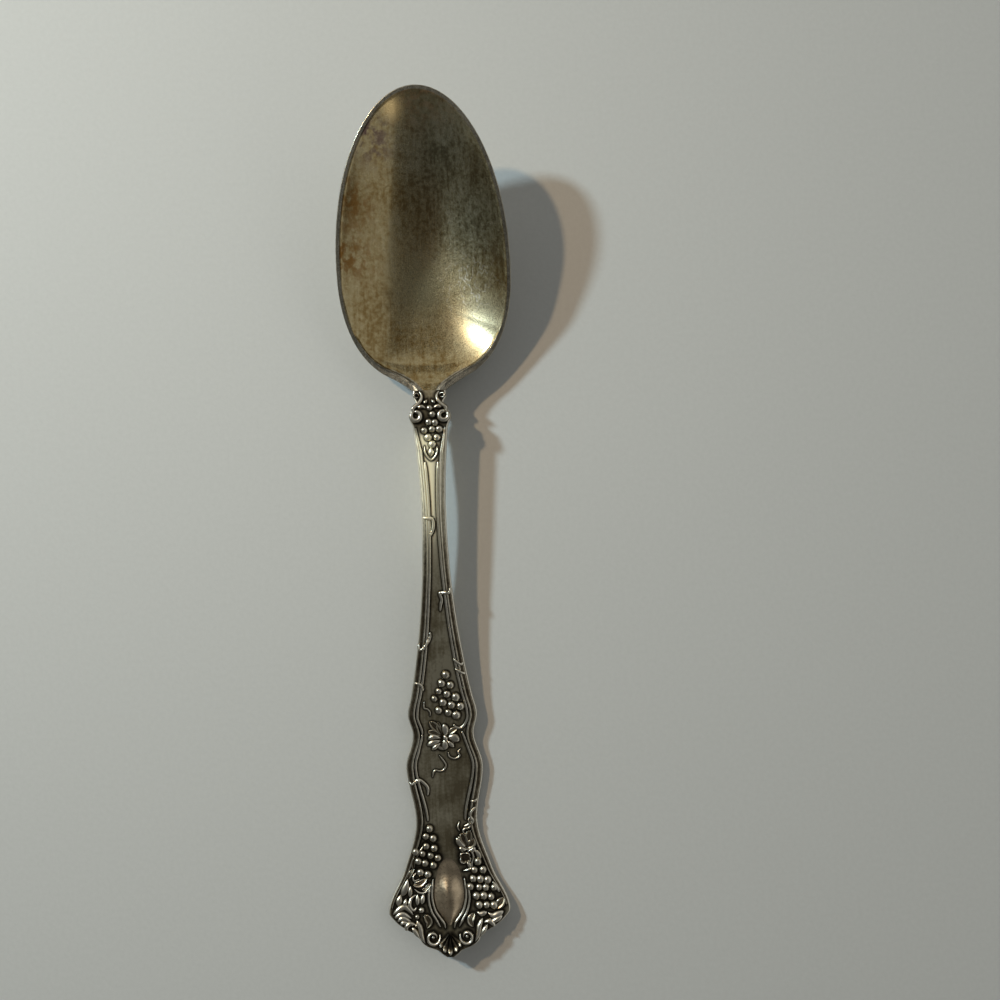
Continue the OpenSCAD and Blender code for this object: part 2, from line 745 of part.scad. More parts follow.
// Plumes between the corners and the scrolls
module acanthus(side) {
    plumes = [
        [[[0.44, 0.64], [0.48, 0.5], [0.5, 0.34], [0.56, 0.19]], 0.9],
        [[[0.6, 0.28], [0.67, 0.27], [0.74, 0.35]], 0.8]
    ];
    color(silver) {
        for (plume = plumes) petal(end_at(plume[0], side), plume[1] * grid, half_round, scroll_h);
        petal(end_at([[0.4, 0.36], [0.36, 0.24], [0.41, 0.12]], side), 1.2 * grid);
    }
}
module left_acanthus() { acanthus(-1); }
module right_acanthus() { acanthus(1); }

// Drop-shaped boss, pointed towards the end
boss_at = foot - 3.9 * grid;
boss_up = 8.8 * grid;
boss_down = 7.2 * grid;
boss_stations = [
    [boss_at - boss_up, 0.4 * grid],
    [boss_at - boss_up * 0.6, boss_w * 0.39],
    [boss_at, boss_w / 2],
    [boss_at + boss_down * 0.4, boss_w * 0.43],
    [boss_at + boss_down * 0.7, boss_w * 0.25],
    [boss_at + boss_down, 0.3 * grid]
];
module medallion() {
    rows = 16;
    shares = [1, 0.8, 0.5, 0, -0.5, -0.8, -1];
    runs = [for (i = [0 : rows]) boss_at - boss_up + (boss_up + boss_down) * i / rows];
    color(toned)
    raised_patch(
        [for (s = runs) [for (u = shares) [u * curve(boss_stations, s), s]]],
        [for (s = runs)
            let (rise = boss_h * min(1, curve(boss_stations, s) / boss_w * 2))
            [for (u = shares) rise * (1 - u ^ 2)]]
    );
}

// Pair of beads that frame the boss and close below it, as [distance outside the boss, distance along]
module lyre_thread(side) {
    inner = [[0.1, -3.7], [0.4, -0.8], [0.35, 1.2], [-0.35, 3.7], [-1.5, 5.4], [-2.4, 6.6], [-2.7, 7.9]];
    outer = [[0.85, -2.4], [1.25, 0.2], [1.15, 2], [0.5, 4.1], [-0.6, 5.9], [-1.5, 7.6]];
    function beside_boss(line) = [for (q = line) [side * (boss_w / 2 + q.x * grid), boss_at + q.y * grid]];
    color(silver)
    for (line = [inner, outer]) raised_line(path(beside_boss(line), 3), 0.6 * grid, thread_h);
}
module lyre_thread_left() { lyre_thread(-1); }
module lyre_thread_right() { lyre_thread(1); }

// Volute with a bead in its eye
module foot_scroll(side) {
    eye = end_at([[0.285, 0.56]], side)[0];
    turn = spiral(eye, 1.75 * grid, 0.85 * grid, side > 0 ? 205 : -25, side * -380, 26);
    color(silver) {
        raised_line(turn, 0.7 * grid, scroll_h);
        translate(at(eye, top_h(eye.y + 0.4 * grid) + seat)) berry(0.4 * grid);
    }
}
module foot_scroll_left() { foot_scroll(-1); }
module foot_scroll_right() { foot_scroll(1); }

// Fluted shell that fans out to the very end
module tip_shell() {
    flutes = 5;
    spread = 48;
    hinge = [0, foot + 0.5 * end_len];
    reach = end - hinge.y - 0.4 * grid;
    angles = [for (i = [0 : flutes * 4]) -spread + 2 * spread * i / (flutes * 4)];
    shares = [0.15, 0.4, 0.65, 0.85, 1];
    function flute(i) = 0.55 + 0.45 * sin(180 * ((i / 4) % 1));
    color(silver)
    raised_patch(
        [for (a = angles) [for (f = shares) hinge + f * reach * (1 - 0.3 * sin(abs(a))) * [sin(a), cos(a)]]],
        [for (i = [0 : len(angles) - 1])
            [for (f = shares) scroll_h * flute(i) * (1 - 0.75 * f ^ 4)]]
    );
}

// Twig on the panel, and one that wraps over the border, as [inset from the edge, distance along] from s
function twig_path(side, s, steps_to) =
    path([for (q = steps_to) [edge_x(side, s + q.y * grid, q.x * grid), s + q.y * grid]], 3);
module twig(side, s, steps_to) {
    raised_line(twig_path(side, s, steps_to), twig_w, twig_h);
}
module tie(side, s, steps_to) {
    raised_line(twig_path(side, s, steps_to), twig_w, twig_h, 0.6, true);
}
module border_ties_left() {
    color(silver) {
        tie(-1, narrow + 1.1 * grid, [[0.3, -0.2], [1.4, 0], [2.5, 0.1], [2.9, 1.2], [2.7, 3], [2.1, 4.3]]);
        tie(-1, narrow + 32.6 * grid,
            [[0.3, -0.4], [0.8, 0.7], [1.75, 0.3], [2.4, -1], [2.9, -2.2], [2.9, -3.4]]);
        tie(-1, shoulder - 8.1 * grid, [[0.3, -0.1], [0.95, 0], [1.75, 0.3], [2.6, 1], [2.8, 2.1]]);
        twig(-1, shoulder - 3.4 * grid, [[3.6, 0], [3.9, 1.6], [4.9, 2], [5.6, 2.8], [5.5, 3.8]]);
        tie(-1, belly + 3.6 * grid,
            [[0.3, -0.1], [0.9, 0.5], [1.7, 0.1], [2.7, -0.5], [3.6, 0.1], [4.5, 1.6], [4, 3.6]]);
    }
}
module border_ties_right() {
    color(silver) {
        tie(1, narrow + 19.4 * grid,
            [[0.35, -1.2], [0.8, 0], [2, 0.1], [3.1, 0.2], [2.9, 1.8], [3.3, 3], [3.7, 4.6]]);
        tie(1, shoulder - 12.9 * grid, [[0.3, -0.1], [0.95, 0.4], [1.9, -0.2], [2.6, -1]]);
        tie(1, shoulder - 10.4 * grid, [[0.3, 0.2], [1.2, 0], [2.2, -0.6], [2.7, -1.1]]);
        tie(1, low - 4.6 * grid, [[0.3, -0.4], [0.9, 0.1], [2.1, 0.2]]);
        tie(1, low - grid, [[0.5, -2], [1.9, -0.2], [1.1, 1.4], [2.2, 2.4], [3.2, 2.2]]);
    }
}

bowl();
handle();
edge_thread_left();
edge_thread_right();
upper_thread_left();
upper_thread_right();
lower_thread_left();
lower_thread_right();
neck_ears();
neck_scroll_left();
neck_scroll_right();
neck_grapes();
neck_pendant();
middle_grapes();
middle_leaf();
middle_tendrils();
left_grapes();
right_grapes();
left_vine_leaf();
right_vine_leaf();
left_corner_leaf();
right_corner_leaf();
left_acanthus();
right_acanthus();
medallion();
lyre_thread_left();
lyre_thread_right();
foot_scroll_left();
foot_scroll_right();
tip_shell();
border_ties_left();
border_ties_right();
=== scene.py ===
import math

import bmesh
import bpy
import numpy as np
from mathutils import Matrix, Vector, kdtree


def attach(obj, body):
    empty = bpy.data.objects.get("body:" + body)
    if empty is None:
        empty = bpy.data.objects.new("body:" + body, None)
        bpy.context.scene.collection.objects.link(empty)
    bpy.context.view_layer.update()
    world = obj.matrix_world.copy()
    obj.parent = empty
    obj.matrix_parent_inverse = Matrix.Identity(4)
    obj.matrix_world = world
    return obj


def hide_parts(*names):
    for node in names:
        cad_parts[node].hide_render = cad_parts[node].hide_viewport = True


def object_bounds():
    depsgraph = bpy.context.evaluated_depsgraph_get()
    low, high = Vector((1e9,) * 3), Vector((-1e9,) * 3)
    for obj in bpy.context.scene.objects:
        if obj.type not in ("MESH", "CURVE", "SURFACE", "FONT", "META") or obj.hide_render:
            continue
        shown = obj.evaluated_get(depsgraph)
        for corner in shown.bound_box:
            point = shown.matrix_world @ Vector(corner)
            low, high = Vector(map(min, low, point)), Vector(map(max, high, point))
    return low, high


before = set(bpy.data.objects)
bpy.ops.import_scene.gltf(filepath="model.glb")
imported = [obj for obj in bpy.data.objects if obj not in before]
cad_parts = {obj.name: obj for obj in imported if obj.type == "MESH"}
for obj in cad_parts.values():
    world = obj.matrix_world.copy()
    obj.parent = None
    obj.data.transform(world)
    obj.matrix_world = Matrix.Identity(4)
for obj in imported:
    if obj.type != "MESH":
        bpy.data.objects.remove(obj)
cad_low, cad_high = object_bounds()

# Lengths are in millimetres, and a piece turns into metres when its mesh is made.
# A run is a distance along the spoon, back from the tip of the bowl, and a plan point is [x, run].
MM = 0.001
LENGTH = (cad_high.y - cad_low.y) / MM
BOWL_W = (cad_high.x - cad_low.x) / MM
TIP_H = (cad_high.z - cad_low.z) / MM
LEFT = -1
RIGHT = 1

# Bowl
BOWL_FRONT = 40.9
BOWL_BACK = 26.3
HEEL_FULLNESS = 2.3
LIP_FULLNESS = 2.8
DEEP_BEHIND = 4
RIM_W = 1.3
RIM_T = 0.9
WALL_T = 1.1
LIP_LEN = 4.8
LIP_DROP = 1
SIDE_BAND_W = RIM_W - 0.1
HEEL_BAND_W = 1.9
FULLNESS = 2.3

# Side profile
MID_H = 11.4
RIM_ARCH = 0.5
LIP_H = 5.9
NECK_H = 8.4
LEVEL_LEN = 13.5
END_H = 5.1
REST_LEN = 12
NECK_T = 3.7
STEM_T = 3.2
SHOULDER_T = 2.1
REST_T = 1.6
END_T = 1.4
SIDE_SHARE = 0.55
LEVEL_SHARE = 0.3

# Lengths of the handle
ROOT_LEN = 1.6
NECK_LEN = 7.8
STEM_LEN = 23.9
TAPER_LEN = 49.9
WAIST_LEN = 5
BELLY_LEN = 8.2
LOW_LEN = 13.3
FOOT_LEN = 22.3
END_LEN = 10.6

# Widths of the handle
ROOT_W = 8
EAR_W = 8.2
THROAT_W = 6.8
SCROLL_W = 10.3
COLLAR_W = 8.4
STEM_W = 6
SHOULDER_W = 17.2
WAIST_W = 15.2
BELLY_W = 19.1
LOW_W = 15.3
FOOT_W = 30.2
STEP_W = 14.6
NIB_W = 2

# Border and ornament
EDGE_W = 1.65
EDGE_H = 0.65
EDGE_GAP = 0.3
THREAD_W = 0.8
THREAD_H = 0.5
BORDER_W = 2.35
STEM_BORDER_W = 1.9
TWIG_W = 0.5
TWIG_H = 0.35
TIE_W = 0.9
TIE_H = 0.5
NECK_BERRY_D = 1.65
MIDDLE_BERRY_D = 2
FOOT_BERRY_D = 1.8
LEAF_H = 0.75
BOSS_W = 7.6
BOSS_H = 1.5
SCROLL_H = 0.9

# How far an ornament, a moulding and a tie reach into the ground
SINK = 0.12
EDGE_SINK = 2 * SINK
TIE_SINK = 4 * SINK

# Spacing of points along the threads, the other lines and the finest forms
THREAD_STEP = 0.2
LINE_STEP = 0.12
FINE_STEP = 0.1

# Runs of the main places
HEEL = BOWL_FRONT + BOWL_BACK
JOINT = HEEL + ROOT_LEN
SCROLLS = HEEL + NECK_LEN
NARROW = SCROLLS + STEM_LEN
SHOULDER = NARROW + TAPER_LEN
WAIST = SHOULDER + WAIST_LEN
BELLY = WAIST + BELLY_LEN
LOW = BELLY + LOW_LEN
FOOT = LOW + FOOT_LEN
END = FOOT + END_LEN
DEEPEST = BOWL_FRONT + DEEP_BEHIND
LIP = HEEL - LIP_LEN
EARS = JOINT + 0.8 * ROOT_LEN
THROAT = (EARS + SCROLLS) / 2 - 0.7
COLLAR = SCROLLS + 3
REST_FROM = LOW - 0.1 * REST_LEN
REST_TO = REST_FROM + REST_LEN


def curve(stations, s):
    """Smooth curve through stations of (run, value), level at each highest and lowest one."""
    runs, values = np.array(stations, float).T
    step = np.diff(runs)
    secant = np.diff(values) / step
    before, after = secant[:-1], secant[1:]
    same_way = before * after > 0
    middle = np.where(same_way, 2 * before * after / np.where(same_way, before + after, 1), 0)
    slope = np.concatenate([secant[:1], middle, secant[-1:]])
    s = np.asarray(s, float)
    i = np.clip(np.searchsorted(runs, s, side="right") - 1, 0, len(step) - 1)
    t = np.clip((s - runs[i]) / step[i], 0, 1)
    leaving = (values[i] * (1 + 2 * t) + slope[i] * step[i] * t) * (1 - t) ** 2
    arriving = (values[i + 1] * (3 - 2 * t) - slope[i + 1] * step[i] * (1 - t)) * t ** 2
    return leaving + arriving


def smooth(t):
    """Smooth step from 0 to 1."""
    t = np.clip(t, 0, 1)
    return t * t * (3 - 2 * t)


# Half widths of the handle: the taper widens ever faster, and the end closes in steps along its length
TAPER_SHARES = (0.25, 0.5, 0.75, 0.9)
END_OUTLINE = [
    (0.2, 0.45 * FOOT_W), (0.37, (FOOT_W + STEP_W) / 4), (0.54, 0.54 * STEP_W), (0.66, 0.49 * STEP_W),
    (0.76, 0.4 * STEP_W), (0.86, 0.21 * STEP_W), (0.94, 0.14 * STEP_W), (1, NIB_W / 2),
]
OUTLINE = [
    (JOINT, ROOT_W / 2), (EARS, EAR_W / 2), (THROAT, THROAT_W / 2),
    (SCROLLS, SCROLL_W / 2), (COLLAR, COLLAR_W / 2), (NARROW, STEM_W / 2),
    *[(NARROW + f * TAPER_LEN, (STEM_W + (SHOULDER_W - STEM_W) * f ** 2) / 2) for f in TAPER_SHARES],
    (SHOULDER, SHOULDER_W / 2), (WAIST, WAIST_W / 2), (BELLY, BELLY_W / 2), (LOW, LOW_W / 2),
    (LOW + 0.55 * FOOT_LEN, (LOW_W + 0.44 * (FOOT_W - LOW_W)) / 2), (FOOT, FOOT_W / 2),
    *[(FOOT + f * END_LEN, half) for f, half in END_OUTLINE],
]
HEIGHTS = [
    (0, TIP_H), (BOWL_FRONT / 2, (TIP_H + MID_H) / 2 + RIM_ARCH), (BOWL_FRONT, MID_H), (LIP, LIP_H),
    (SCROLLS, NECK_H), (SCROLLS + LEVEL_LEN, NECK_H),
    (REST_FROM, REST_T), (REST_TO, REST_T), (END, END_H),
]
THICKNESSES = [
    (JOINT, 0.85 * NECK_T), (SCROLLS, NECK_T), (NARROW, STEM_T), (SHOULDER, SHOULDER_T),
    (REST_FROM, REST_T), (REST_TO, REST_T), (END, END_T),
]


def half_w(s):
    return curve(OUTLINE, s)


def top_h(s):
    return curve(HEIGHTS, s)


def under_h(s, u):
    """Height of the handle's underside at a share u of its half width."""
    thickness = curve(THICKNESSES, s)
    out = np.clip((np.abs(u) - LEVEL_SHARE) / (1 - LEVEL_SHARE), 0, None)
    return top_h(s) - thickness + thickness * (1 - SIDE_SHARE) * out ** 2


# Border: a moulding along each edge, by shares of its width and height, and a thin bead inside it
EDGE_SECTION = [(0, 0), (0.1, 0.5), (0.38, 0.75), (0.52, 0.6), (0.76, 1), (0.92, 0.7), (1, 0)]
EDGE_FROM = COLLAR
EDGE_TO = FOOT - 1
EDGE_END_SHARE = 0.4
EDGE_GROWS = 6
EDGE_FADES = 20
BORDER_FROM = NARROW + 15
BORDER_GROWS = 30
THREAD_FROM = COLLAR + 8.2
THREAD_TO = LOW + 0.4
THREAD_DRIFT = 0.6


def border_w(s):
    """Width of the border, which grows from the stem to the shoulder."""
    return STEM_BORDER_W + (BORDER_W - STEM_BORDER_W) * smooth((s - BORDER_FROM) / BORDER_GROWS)


def edge_share(s):
    """Size of the moulding as a share of its largest: less at its ends and along the stem."""
    growing = EDGE_END_SHARE + (1 - EDGE_END_SHARE) * (s - EDGE_FROM) / EDGE_GROWS
    fading = EDGE_END_SHARE + (1 - EDGE_END_SHARE) * (EDGE_TO - s) / EDGE_FADES
    return np.clip(np.minimum(growing, fading), 0, 1) * border_w(s) / BORDER_W


def thread_inset(s):
    return border_w(s) + THREAD_DRIFT * np.clip((s - BELLY) / LOW_LEN, 0, 1)


def ground(plan):
    """Height of what lies under plan points, with the mouldings of the border."""
    x, s = np.abs(plan[..., 0]), plan[..., 1]
    inset = half_w(s) - x
    q = (inset - EDGE_GAP) / (EDGE_W * np.maximum(edge_share(s), 0.01))
    shares, rises = np.array(EDGE_SECTION).T
    moulding = EDGE_H * np.interp(q, shares, rises, left=0, right=0)
    off = 2 * (inset - thread_inset(s)) / THREAD_W
    bead = THREAD_H * np.sqrt(np.clip(1 - off ** 2, 0, None))
    bead = np.where((s > THREAD_FROM) & (s < THREAD_TO), bead, 0)
    return top_h(s) + np.maximum(moulding, bead)


def edge_x(side, s, inset):
    return side * (half_w(s) - inset)


def path(points, steps=10):
    """Smooth plan path through a few points."""
    p = np.array(points, float)
    p = np.vstack([p[:1], p, p[-1:]])
    t = (np.arange(steps) / steps)[:, None]
    runs = []
    for a, b, c, d in zip(p[:-3], p[1:-2], p[2:-1], p[3:]):
        runs.append(0.5 * (2 * b + (c - a) * t + (2 * a - 5 * b + 4 * c - d) * t ** 2
                           + (3 * b - a - 3 * c + d) * t ** 3))
    return np.vstack(runs + [p[-1:]])


def spiral(side, centre, r_out, r_in, start, turn, steps=60):
    """Spiral plan path between two radii, with angles in degrees, mirrored on the left side."""
    f = np.linspace(0, 1, steps + 1)
    r = r_out + (r_in - r_out) * f
    a = np.radians(start + turn * f)
    return np.array(centre) + np.stack([side * r * np.cos(a), r * np.sin(a)], axis=1)


# A form is three arrays: points [x, run, height], faces, and how bright each point is worn, from 0 to 1.
# A form that closes round its middle ends at a small share of its reach.
INNERMOST = 0.02


def unit(v):
    return v / np.linalg.norm(v, axis=-1, keepdims=True)


def with_height(plan, z):
    return np.concatenate([plan, z[..., None]], axis=-1)


def quads(rows, cols, closed=False):
    """Faces of a grid of points; a closed grid joins its last column to its first."""
    span = cols if closed else cols - 1
    i, k = np.meshgrid(np.arange(rows - 1), np.arange(span), indexing="ij")
    a = i * cols + k
    b = i * cols + (k + 1) % cols
    return np.stack([a, b, b + cols, a + cols], axis=-1).reshape(-1, 4).tolist()


def joined(forms):
    points, faces, wear, start = [], [], [], 0
    for form_points, form_faces, form_wear in forms:
        points.append(form_points)
        faces += [[start + i for i in face] for face in form_faces]
        wear.append(form_wear)
        start += len(form_points)
    return np.vstack(points), faces, np.concatenate(wear)


def skin(rings, wear):
    """Closed skin over rings of equal counts of points."""
    rows, cols = rings.shape[:2]
    caps = [list(range(cols)), list(range((rows - 1) * cols, rows * cols))]
    return rings.reshape(-1, 3), quads(rows, cols, closed=True) + caps, wear.reshape(-1)


def even_steps(points, spacing):
    """The same plan path with points at an even spacing, and its length up to each."""
    lengths = np.concatenate([[0], np.cumsum(np.linalg.norm(np.diff(points, axis=0), axis=1))])
    at = np.linspace(0, lengths[-1], max(6, int(lengths[-1] / spacing)))
    return np.stack([np.interp(at, lengths, points[:, k]) for k in (0, 1)], axis=1), at


def evened(heights, reach=3):
    """Heights evened out along a path, so that what lies over the border bridges its grooves."""
    padded = np.pad(heights, ((reach, reach), (0, 0)), mode="edge")
    window = 2 * reach + 1
    return sum(padded[i:i + len(heights)] for i in range(window)) / window


def with_feet(rings, sink):
    """Rings with a sunken point added at each of their ends."""
    sunk = rings[:, [0, -1]] - [0, 0, sink]
    return np.concatenate([sunk[:, :1], rings, sunk[:, 1:]], axis=1)


def ridge(p, half, height, section, over_border=False):
    """Closed ridge along plan points; its section is three arrays: places across, rises and wear."""
    ahead = unit(np.gradient(p, axis=0))
    across = np.stack([-ahead[:, 1], ahead[:, 0]], axis=1)
    side, rise, wear = section
    plan = p[:, None] + across[:, None] * (half[:, None] * side)[..., None]
    base = evened(ground(plan)) if over_border else top_h(plan[..., 1])
    rings = with_height(plan, base + height[:, None] * rise)
    rings = with_feet(rings, TIE_SINK if over_border else SINK)
    return skin(rings, np.concatenate([[0], wear, [0]]) * np.ones((len(p), 1)))


# Sections of a ridge, from its right to its left: half round, and dished with turned-up edges and a rib
ROUND_ANGLES = np.linspace(0, math.pi, 11)
HALF_ROUND = (np.cos(ROUND_ANGLES), np.sin(ROUND_ANGLES), np.sin(ROUND_ANGLES))
DISH_DEPTH = 0.6
RIB_H = 0.22
RIB_W = 0.16
DISH_ACROSS = np.linspace(1, -1, 19)
DISH = (1 - DISH_ACROSS ** 8) * (1 - DISH_DEPTH * np.cos(DISH_ACROSS * math.pi / 2) ** 2)
DISH_RISE = DISH + RIB_H * np.exp(-(DISH_ACROSS / RIB_W) ** 2)
DISHED = (DISH_ACROSS, DISH_RISE, np.clip(1.5 * DISH_RISE - 0.45, 0, 1))


def raised_line(points, width, height, ends=0.35, over_border=False, spacing=LINE_STEP):
    """Half-round line along a plan path, with rounded ends that keep a share of its width."""
    p, at = even_steps(points, spacing)
    from_end = np.minimum(at, at[-1] - at)
    taper = ends + (1 - ends) * np.clip(from_end / (2.2 * width), 0, 1)
    cap = 0.6 * width * ends + 0.05
    rounding = np.sqrt(np.clip(1 - (1 - np.minimum(from_end / cap, 1)) ** 2, 0.02, 1))
    share = taper * rounding
    return ridge(p, width / 2 * share, height * share, HALF_ROUND, over_border)


def fine_line(points, width=TWIG_W, height=TWIG_H):
    return raised_line(path(points), width, height, spacing=FINE_STEP)


def petal(points, width, section=DISHED, height=LEAF_H):
    """Lobe along a plan path: narrow where it starts, widest past its middle, round at its tip."""
    p, at = even_steps(path(points), FINE_STEP)
    share = np.sin(math.pi * np.clip(at / at[-1], 0.004, 0.998) ** 1.25) ** 0.6
    return ridge(p, width / 2 * share, height * np.sqrt(share), section)


def petals(place, lobes, section=DISHED, height=LEAF_H):
    """Lobes of a leaf, from pairs of (points, width)."""
    return [petal(place(points), width, section, height) for points, width in lobes]


def patch(plan, rise, wear):
    """Closed raised patch over a grid of plan points."""
    rows, cols = rise.shape
    count = rows * cols
    z = top_h(plan[..., 1])
    upper = with_height(plan, z + rise).reshape(-1, 3)
    lower = with_height(plan, z - SINK).reshape(-1, 3)
    index = np.arange(count).reshape(rows, cols)
    border = np.concatenate([index[0, :-1], index[:-1, -1], index[-1, :0:-1], index[:0:-1, 0]])
    walls = [[a, b, b + count, a + count] for a, b in zip(border, np.roll(border, -1))]
    top = quads(rows, cols)
    bottom = [[i + count for i in face[::-1]] for face in top]
    both_wear = np.concatenate([wear.reshape(-1), np.zeros(count)])
    return np.vstack([upper, lower]), top + bottom + walls, both_wear


def leaf(centre, size, turn, lobes=5, height=LEAF_H):
    """Round leaf with a scalloped edge turned up round a dished middle."""
    spokes, rings = 36 * lobes, 22
    around = np.linspace(0, 2 * math.pi, spokes, endpoint=False)
    f = np.linspace(1, INNERMOST, rings)[:, None]
    from_tip = around - math.radians(turn)
    lobe = np.abs(np.cos(from_tip * lobes / 2))
    reach = size * (0.72 + 0.28 * lobe ** 0.7) * (0.9 + 0.1 * np.cos(from_tip))
    turned_up = np.exp(-((f - 0.84) / 0.13) ** 2)
    share = (0.3 + 0.7 * turned_up * (0.5 + 0.5 * lobe)) * (1 - 0.8 * f ** 16)
    plan = np.array(centre) + np.stack([f * reach * np.cos(around), f * reach * np.sin(around)], axis=2)
    base = top_h(plan[..., 1])
    sunk = with_height(plan[:1], base[:1] - SINK)
    rings_of_points = np.concatenate([sunk, with_height(plan, base + height * share)])
    wear = np.clip(1.4 * share - 0.15, 0, 1)
    return skin(rings_of_points, np.concatenate([np.zeros((1, spokes)), wear]))


# Berries
BERRY_SIDE = math.radians(108)
BERRY_LIFT = 0.1
DIMPLE_DEPTH = 0.05
DIMPLE_REACH = 0.22
STRAY = 0.2
SMALLEST = 0.94
LARGEST = 1.16


def berry(plan, r):
    """Round berry with a small dimple at its top, seated on the slope of the handle."""
    rings, spokes = 14, 28
    down = np.linspace(BERRY_SIDE, 0.03, rings)[:, None]
    a = np.linspace(0, 2 * math.pi, spokes, endpoint=False)
    dimple = 1 - DIMPLE_DEPTH * np.exp(-(down / DIMPLE_REACH) ** 2)
    x = r * np.sin(down) * np.cos(a)
    y = r * np.sin(down) * np.sin(a)
    z = r * (np.cos(down) * dimple + BERRY_LIFT) * np.ones(spokes)
    slope = (top_h(plan[1] + 0.1) - top_h(plan[1] - 0.1)) / 0.2
    z = np.maximum(z, -SINK) + slope * y + top_h(plan[1])
    wear = 0.9 * np.clip((np.cos(down) + 0.3) / 1.2, 0, 1) * np.ones(spokes)
    return skin(np.stack([plan[0] + x, plan[1] + y, z], axis=2), wear)


def bunch(first, counts, d, pitch, row_gap, lean=0, tilt=0, grow=0, seed=0):
    """Berries in staggered rows that lean along the handle, tilt down to the right and grow that way."""
    play = np.random.default_rng(seed)
    lean, tilt = math.radians(lean), math.radians(tilt)
    along = np.array([math.sin(lean), math.cos(lean)])
    across = np.array([math.cos(tilt), math.sin(tilt)])
    forms = []
    shift = 0
    for row, count in enumerate(counts):
        if row > 0 and (count - counts[row - 1]) % 2 == 0:
            shift = 0.25 if shift < 0.1 else -0.25
        for i in range(count):
            place = i - (count - 1) / 2 + shift
            p = np.array(first) + along * row * row_gap + across * place * pitch
            p = p + play.uniform(-STRAY, STRAY, 2)
            forms.append(berry(p, d / 2 * (1 + grow * place) * play.uniform(SMALLEST, LARGEST)))
    return joined(forms)


# Bowl
EGG_END = 157.5
EGG_STEPS = 96
ROOT_STEPS = 26
JOINT_STEPS = 12
HOLLOW_RINGS = 46
FLAT_RINGS = 22
BACK_RINGS = 30
RIM_ROUND = 0.3
JOINT_ROUND = 0.02
JOINT_BLEND = 1.2
HOLLOW_ROUND = 0.35
LIP_STEP = 0.22
LIP_STEP_W = 0.4
ROOT_BLEND = 4.5
BEAD_H = 0.3
BEAD_W = 0.35
BEAD_FROM = DEEPEST + 6
BEAD_GROWS = 9

# Strands of the root and the grooves inside them
STRAND_AT = 2.6
STRAND_SPREAD = 0.55
STRAND_BEND = 0.14
STRAND_W = 0.4
GROOVE_IN = 0.8
GROOVE_W = 0.25
GROOVE_DEPTH = 0.12
GROOVE_TONE = 1.6


def egg(a, inset, heel_inset, fullness):
    """Plan points of the egg at angles from the tip: an ellipse in front, a fuller curve at the heel."""
    c, s = np.cos(np.radians(a)), np.sin(np.radians(a))
    power = np.where(c > 0, 1, 2 / fullness)
    length = np.where(c > 0, BOWL_FRONT - inset, BOWL_BACK - heel_inset)
    x = (BOWL_W / 2 - inset) * np.clip(s, 0, 1) ** power
    return np.stack([x, BOWL_FRONT - np.sign(c) * np.abs(c) ** power * length], axis=-1)


def both_sides(half):
    mirrored = half[-2:0:-1] * [-1, 1]
    return np.vstack([half, mirrored])


def rim_outline():
    """Outer outline: the egg, the sides of the root and the end that meets the neck."""
    last_x, last_s = egg(EGG_END, 0, 0, HEEL_FULLNESS)
    before_x, before_s = egg(EGG_END - 5, 0, 0, HEEL_FULLNESS)
    drawn_in = (HEEL + 0.38 * ROOT_LEN, 0.67 * ROOT_W)
    root = [(before_s, before_x), (last_s, last_x), drawn_in, (JOINT, ROOT_W / 2)]
    runs = np.linspace(last_s, JOINT, ROOT_STEPS + 1)[1:]
    front = egg(np.linspace(0, EGG_END, EGG_STEPS + 1), 0, 0, HEEL_FULLNESS)
    sides = np.stack([curve(root, runs), runs], axis=1)
    shares = np.linspace(1, 0, JOINT_STEPS + 1)[1:]
    end = np.stack([shares * ROOT_W / 2, np.full(JOINT_STEPS, JOINT)], axis=1)
    return both_sides(np.vstack([front, sides, end]))


def hollow_outline():
    """Outline of the hollow, with as many points as the outer one."""
    front = np.linspace(0, EGG_END, EGG_STEPS + 1)
    back = np.linspace(EGG_END, 180, ROOT_STEPS + JOINT_STEPS + 1)[1:]
    return both_sides(egg(np.concatenate([front, back]), RIM_W, LIP_LEN, LIP_FULLNESS))


def rim_under(plan):
    """Underside of the rim, thickening to the neck's section at the joint."""
    x, s = plan[..., 0], plan[..., 1]
    root = np.clip((s - LIP) / (JOINT - LIP), 0, None)
    neck_under = under_h(JOINT, np.clip(np.abs(x) / (ROOT_W / 2), 0, 1)) - top_h(JOINT)
    return top_h(s) - RIM_T + (neck_under + RIM_T) * root ** 2


def band_width(s):
    """Width of the rim's flat band, which grows from the sides of the bowl to its heel."""
    return SIDE_BAND_W + (HEEL_BAND_W - SIDE_BAND_W) * np.clip((s - DEEPEST) / (LIP - DEEPEST), 0, 1)


def off_band(s, from_rim, at_side):
    """How far a point of the rim lies inside its flat band, from 0 on the band to 1 on the lip."""
    step = smooth((from_rim - band_width(s) + 0.1) / LIP_STEP_W)
    return 1 - at_side * (1 - step)


def root_strands(x, s):
    """Share, rise and toning of the two strands from the rim into the neck and of their grooves."""
    from_joint = np.clip(JOINT - s, 0, None)
    across = np.abs(x) - (STRAND_AT + STRAND_SPREAD * from_joint + STRAND_BEND * from_joint ** 2)
    at_root = smooth((s - LIP) / 2)
    groove = np.exp(-((across + GROOVE_IN) / GROOVE_W) ** 2)
    rise = BEAD_H * np.exp(-(across / STRAND_W) ** 2) - GROOVE_DEPTH * groove
    tone = smooth((-across - 0.3) / 0.4) - GROOVE_TONE * groove
    return at_root, rise, tone


def rounded_corner(before, corner, after, steps=9):
    """Curve from one point to another that takes the corner between them."""
    t = np.linspace(0, 1, steps)[:, None, None]
    return before * (1 - t) ** 2 + corner * 2 * t * (1 - t) + after * t ** 2


